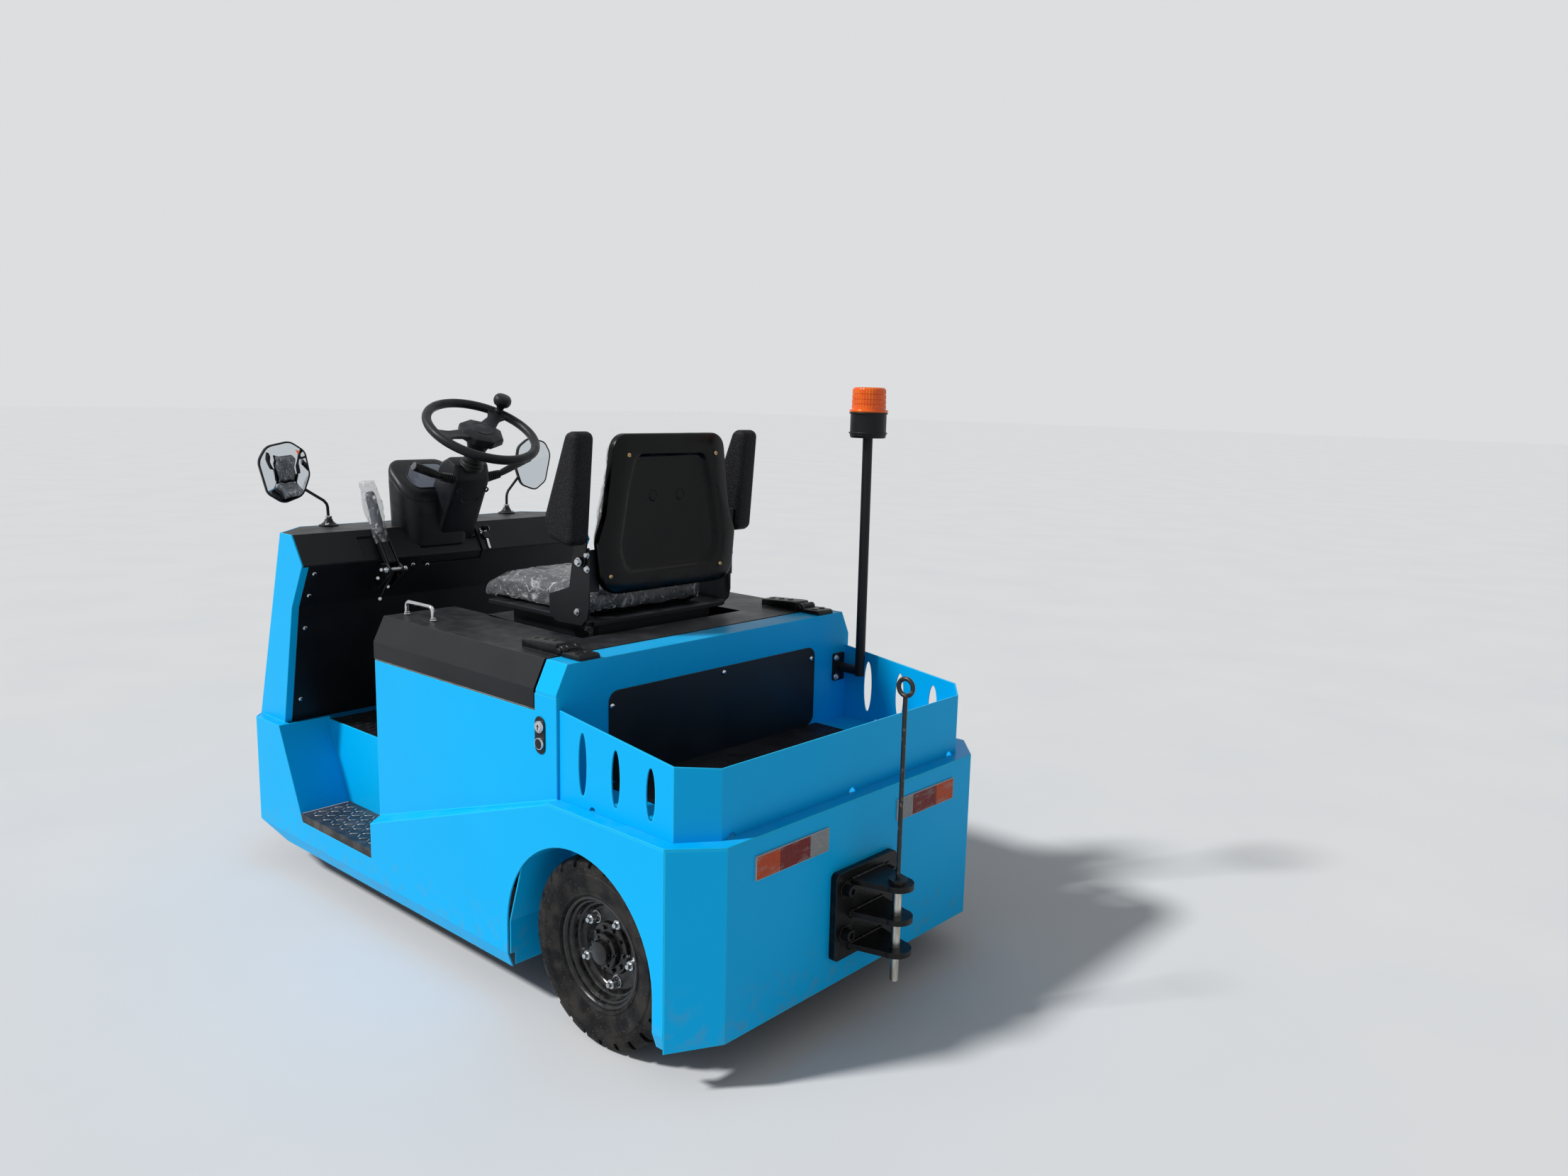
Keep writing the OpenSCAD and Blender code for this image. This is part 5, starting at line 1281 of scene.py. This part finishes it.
# each panel is (colour, nearer edge, farther edge, shade)
lamp_parts = [("amber", 0.2746, lamp_end, (178, 66, 10)), ("red", 0.1823, 0.2746, (112, 12, 16)),
              ("clear", 0.123, 0.1823, (134, 136, 138))]
for colour, y1, y2, shade in lamp_parts:
    panel = Finish("lamp_" + colour, shade, 0.26, Specular_IOR_Level=0.35)
    panel.relief(panel.cells(0.0045, 0, 0.6), 0.0006)
    panel.relief(panel.cloud(0.02, 0.35, 0.7, (1, 0.3, 1)), 0.0012)
    panel.tint(panel.times(panel.cells(0.0045, 0.45, 0.1), 0.5), [min(255, c * 1.3 + 8) for c in shade])
    panel.tint(panel.times(panel.cloud(0.016, 0.5, 0.62, (1, 0.3, 1)), 0.3), (150, 150, 148))
    ribs = []
    count = round((y2 - y1) / rib_pitch)
    low, high = lamp_z1 + rib_edge, lamp_z2 - rib_edge
    for k in range(count):
        a, b = (y1 + rib_gap + (y2 - y1 - 2 * rib_gap) * step / count for step in (k, k + 1))
        outline = rounded([(a, low, 0), (b, low, 0), (b, high, 0), (a, high, 0)], 1)
        ribs.append(put(stepped(outline, [(0, 0), (0, -0.0032), (0.0014, -0.0042)]), from_behind(0)))
    names = ["tail_lamps"] if colour == "red" else []
    piece("tail_lamp_" + colour, ribs + [mirror_y(form) for form in ribs], panel, "body", "lamp_red", *names,
          crease=25)
tray_start = lamp_parts[-1][1] - 0.001
tray = rounded([(tray_start, lamp_z1, 0.002), (tray_end, lamp_z1, 0.002), (tray_end, lamp_z2, 0.002),
                (tray_start, lamp_z2, 0.002)], 3)
rim_levels = [(0, 0), (0, -0.0034), (0.0006, -0.004), (0.0014, -0.004), (0.0016, 0)]
tray_rim = put(stepped(tray, rim_levels, loop=True), from_behind(0))
piece("tail_lamp_trays", both(tray_rim), pale, "body", "lamp_red", crease=40)

# The head lamps are round, one on each side of the raked nose: a black moulded bezel, a bright
# metal dish with a bulb, and a fluted glass. They are fitted from the front.
nose_foot_x, nose_foot_z, nose_run, nose_rise = 1.9203, 0.427, 0.165, 0.536
lamp_y, lamp_z = 0.3, 0.56
lean = math.atan(nose_run / nose_rise)
lamp_x = nose_foot_x - nose_run * (lamp_z - nose_foot_z) / nose_rise
lamp_seat = facing(spot(lamp_x, lamp_y, lamp_z), (0, 1, 0), (-math.sin(lean), 0, math.cos(lean)))
bezel_outline = [(0.049, 0), (0.055, 0), (0.055, 0.016), (0.053, 0.021), (0.0495, 0.0235),
                 (0.046, 0.0225), (0.0455, 0.018), (0.049, 0.014)]
dish_outline = [(0, 0.001), (0.047, 0.001), (0.0485, 0.012), (0.0475, 0.0125), (0.036, 0.006),
                (0.02, 0.0028), (0, 0.0022)]
bulb_outline = [(0, 0.002), (0.006, 0.002), (0.006, 0.01), (0.008, 0.012), (0.007, 0.016), (0, 0.0175)]
glass_outline = [(0, 0.0175), (0.0458, 0.0165), (0.0458, 0.0185), (0.03, 0.0215), (0, 0.0232)]
bezel = put(turned(bezel_outline, 64, True), lamp_seat)
piece("lamp_bezels", both(bezel), plastic, "body", "black_plastic", "headlamps")
dish = put(turned(dish_outline, 64), lamp_seat)
bulb = put(turned(bulb_outline, 24), lamp_seat)
piece("lamp_dishes", both(dish, bulb), chrome, "body", "chrome")
clear = Finish("lamp_glass", (236, 238, 240), 0.03, Transmission_Weight=0.95, IOR=1.4)
wave = clear.add("TexWave", {"Vector": clear.scaled(0.02), "Scale": 1.0}, bands_direction="Y").outputs[0]
clear.relief(wave, 0.0012)
piece("lamp_covers", both(put(turned(glass_outline, 64), lamp_seat)), clear, "body", "lamp_glass")

# The inching switches are two push buttons with chromed rings in a black plate: a white one
# with a plain arrow above a black one.
switch_x, upper_z, lower_z = 0.497, 0.6585, 0.6215
well_plan = rounded([(0.4795, 0.5985, 0.0165), (0.5145, 0.5985, 0.0165), (0.5145, 0.6808, 0.0165),
                     (0.4795, 0.6808, 0.0165)])
switch_ring = [(0.0108, 0), (0.014, 0), (0.014, 0.002), (0.0128, 0.0042), (0.0112, 0.0046),
               (0.0108, 0.003)]
push_button = [(0, 0), (0.0106, 0), (0.0106, 0.0044), (0.0098, 0.0054), (0, 0.0058)]
arrow_plan = [(-0.0012, -0.006), (0.0012, -0.006), (0.0012, 0.001), (0.0042, 0.001), (0, 0.0062),
              (-0.0042, 0.001), (-0.0012, 0.001)]


def on_side(y, z):
    """The move that lays a switch's form on the left side, at a width and a height."""
    return facing(spot(switch_x, y, z), (-1, 0, 0), (0, 0, 1))


piece("switch_plates", both(put(plate(well_plan, 0.002, 0.0006), from_left(0.4902))), plastic, "body",
      "black_plastic", "inching_switches")
for z, finish, name in ((upper_z, pale, "white"), (lower_z, plastic, "black")):
    place = on_side(0.4898, z)
    piece("switch_ring_" + name, both(put(turned(switch_ring, 40, True), place)), chrome, "body", "chrome")
    piece("switch_button_" + name, both(put(turned(push_button, 40), place)), finish, "body", "black_plastic")
arrow = put(plate(arrow_plan, 0.0006, 0.0001), on_side(0.4955, upper_z))
piece("switch_arrows", both(arrow), plastic, "body", "black_plastic")

# The footwell's rubber sheet has flat round studs in staggered rows, moulded in one piece with
# it, so that wet boots don't slip.
stud_pitch, stud_rows, stud_start = 0.03, 15, 1.186
studs_across, stud_reach, sheet_top = 12, 0.352, 0.42
stud_outline = [(0, 0), (0.0112, 0), (0.0112, 0.0016), (0.0102, 0.0022), (0, 0.0022)]
studs = []
for row in range(stud_rows):
    for place in range(-studs_across, studs_across + 1):
        x = stud_start + row * stud_pitch
        y = (place + 0.5 * (row % 2)) * stud_pitch
        if abs(y) < stud_reach:
            studs.append(put(turned(stud_outline, 16), Matrix.Translation(spot(x, y, sheet_top))))
piece("floor_studs", studs, rubber, "body", "floor_rubber")

# The step treads are steel chequer plate under black paint: short raised bars that turn left and
# right by turns, with boots' wear showing grey on their tops.
tread = Finish("tread_black", (24, 26, 29), 0.42, Specular_IOR_Level=0.35)
tread.grain(0.002, 0.0001)
# painted top light: the plate's up-facing faces are tinted a bluish grey, as the sky would light them
tread.tint(tread.times(tread.upward(), 0.5), (54, 64, 72))
tread.patches(0.05, 0.45, 0.62, 0.45, (96, 92, 88))
dress(tread, "step_treads")
worn = Finish("worn_tread", (64, 66, 68), 0.36, Metallic=0.4)
worn.grain(0.002, 0.0001)
worn.tint(worn.times(worn.upward(), worn.cloud(0.02, 0.35, 0.6)), (176, 176, 172))
bar_len, bar_w, bar_h = 0.026, 0.0052, 0.0017
bar_pitch, bars_across = 0.0235, 5
tread_start, tread_end, tread_inner, tread_top = 1.183, 1.53, 0.395, 0.1998


def chequer(place, turn):
    """One raised bar with pointed ends."""
    corners = [(-bar_len / 2, 0, 0), (-bar_len / 4, -bar_w / 2, 0.006), (bar_len / 4, -bar_w / 2, 0.006),
               (bar_len / 2, 0, 0), (bar_len / 4, bar_w / 2, 0.006), (-bar_len / 4, bar_w / 2, 0.006)]
    return put(plate(rounded(corners, 3), bar_h, 0.0008), place, Matrix.Rotation(turn, 4, "Z"))


raised = []
for row in range(math.ceil((tread_end - tread_start) / bar_pitch)):
    for across in range(bars_across):
        place = spot(tread_start + row * bar_pitch, tread_inner + across * bar_pitch, tread_top)
        raised += both(chequer(Matrix.Translation(place), math.radians(45 if (row + across) % 2 else -45)))
piece("tread_bars", raised, worn, "body", "black_steel")

# The hood's strap hinges are black castings: a base bolted to the hoop, a strap on the hood that
# rises to its knuckles, and a pin with round ends.
hinge_mid = 0.395
hinge_pin = (0.515, 0.809)
strap_side = rounded([(0.5275, 0.798, 0), (0.5275, 0.8225, 0.005), (0.548, 0.8225, 0.02),
                      (0.653, 0.8162, 0.004), (0.653, 0.798, 0)], 4)
base_side = rounded([(0.447, 0.798, 0), (0.447, 0.8095, 0.005), (0.505, 0.8095, 0.003), (0.505, 0.798, 0)], 4)


def casting(outline, half):
    """A side outline carried across the hinge, its long edges rounded."""
    return skin([[spot(x, hinge_mid + y, z) for x, z in inset(outline, by)] for y, by in
                 ((-half, 0.003), (-half + 0.0008, 0.001), (-half + 0.003, 0), (half - 0.003, 0),
                  (half - 0.0008, 0.001), (half, 0.003))])


def barrel(y1, y2):
    """One knuckle round the pin."""
    length = y2 - y1
    knuckle = [(0, 0), (0.0095, 0), (0.0112, 0.0014), (0.0112, length - 0.0014), (0.0095, length),
               (0, length)]
    return put(turned(knuckle, 32), aimed(spot(hinge_pin[0], y1, hinge_pin[1]), (0, 1, 0)))


flat_screw = [(0, 0), (0.0086, 0), (0.0086, 0.0012), (0.0072, 0.0024), (0, 0.0026)]
pin_end, pin_half = [(0, 0), (0.0068, 0), (0.0068, 0.002), (0.005, 0.0042), (0, 0.005)], 0.0258
straps = [casting(strap_side, 0.0262), barrel(0.3695, 0.3828), barrel(0.4072, 0.4205)]
straps += [put(turned(flat_screw, 24), aimed(spot(x, hinge_mid, z), (0.06, 0, 1)))
           for x, z in ((0.57, 0.8208), (0.603, 0.8188), (0.636, 0.8168))]
bases = [casting(base_side, 0.0292), barrel(0.3834, 0.4066)]
bases += [put(turned(flat_screw, 24), Matrix.Translation(spot(0.473, hinge_mid + y, 0.8094)))
          for y in (-0.015, 0.015)]
bases += [put(turned(pin_end, 24),
              aimed(spot(hinge_pin[0], hinge_mid + side * pin_half, hinge_pin[1]), (0, side, 0)))
          for side in (-1, 1)]
piece("hinge_straps", straps + [mirror_y(form) for form in straps], satin, "hood", "black_coat")
piece("hinge_bases", bases + [mirror_y(form) for form in bases], satin, "body", "black_coat")

# A grey extruded rubber strip seals the hood's lower edge against the skirts. It is glued along
# the edge, and shows as a thin line all along.
seal_points = [spot(x, 0.4868, 0.6922) for x in (0.516, 0.7, 0.9, 1.1, 1.166)]
strip = bar(seal_points, 0.0021, 10)
seal = Finish("seal_rubber", (104, 104, 102), 0.6)
seal.grain(0.002, 0.0001)
seal.tint(seal.cloud(0.03, 0.4, 0.7), (72, 72, 72))
piece("hood_seal", both(strip), seal, "hood", "black_plastic")

# The beacon's base is a black moulding with a lip above and a flange below. Two zinc-plated
# bolts with washers hold the foot of its pole to the hoop.
lip = [(0.044, 0), (0.0485, 0), (0.049, 0.001), (0.049, 0.003), (0.0485, 0.004), (0.044, 0.004)]
beacon_rings = [put(turned(lip, 64, True), Matrix.Translation(spot(beacon_x, beacon_y, z)))
                for z in (1.2722, 1.3222)]
piece("beacon_rings", beacon_rings, plastic, "body", "black_plastic")
pole_bolts = []
for z in (0.6785, 0.6275):
    head = stacked((0.0082, 0), (0.0082, 0.0014), (0.0062, 0.0015, 6), (0.0062, 0.0058, 6),
                   (0.0052, 0.0066))
    pole_bolts.append(put(head, aimed(spot(0.434, -0.4285, z), (-1, 0, 0), z * 5)))
piece("pole_bolts", pole_bolts, zinc, "body", "zinc")

# Chromed cross-head screws hold two black panels to the folded edges behind them: the bulkhead's
# cover along its middle, and the knee panel along its top and its left edge.
head_r, edge_y = 0.0062, 0.4475
heads = [screw(head_r, spot(0.4402, y, z), (-1, 0, 0), z * 9)
         for y, z in ((0.339, 0.687), (-0.008, 0.706), (-0.332, 0.690))]
# the knee panel's fold line from the top down, as (length, height)
knee_top, knee_fold, knee_foot = (1.532, 0.88), (1.597, 0.763), (1.668, 0.424)


def knee_screw(y, z, upper, lower, normal, turn):
    """A screw on the flat of the knee panel between two of its folds."""
    face = upper[0] + (upper[1] - z) * (lower[0] - upper[0]) / (upper[1] - lower[1])
    return screw(head_r, spot(face - 0.0003, y, z), normal, turn)


for y, z in ((edge_y, 0.859), (0.151, 0.858), (0.103, 0.853), (edge_y, 0.795)):
    heads.append(knee_screw(y, z, knee_top, knee_fold, (-0.87, 0, -0.5), y * 7))
for z in (0.7, 0.49):
    heads.append(knee_screw(edge_y, z, knee_fold, knee_foot, (-0.979, 0, -0.205), z * 7))
piece("panel_screws", heads, chrome, "body", "chrome")

low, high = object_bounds()
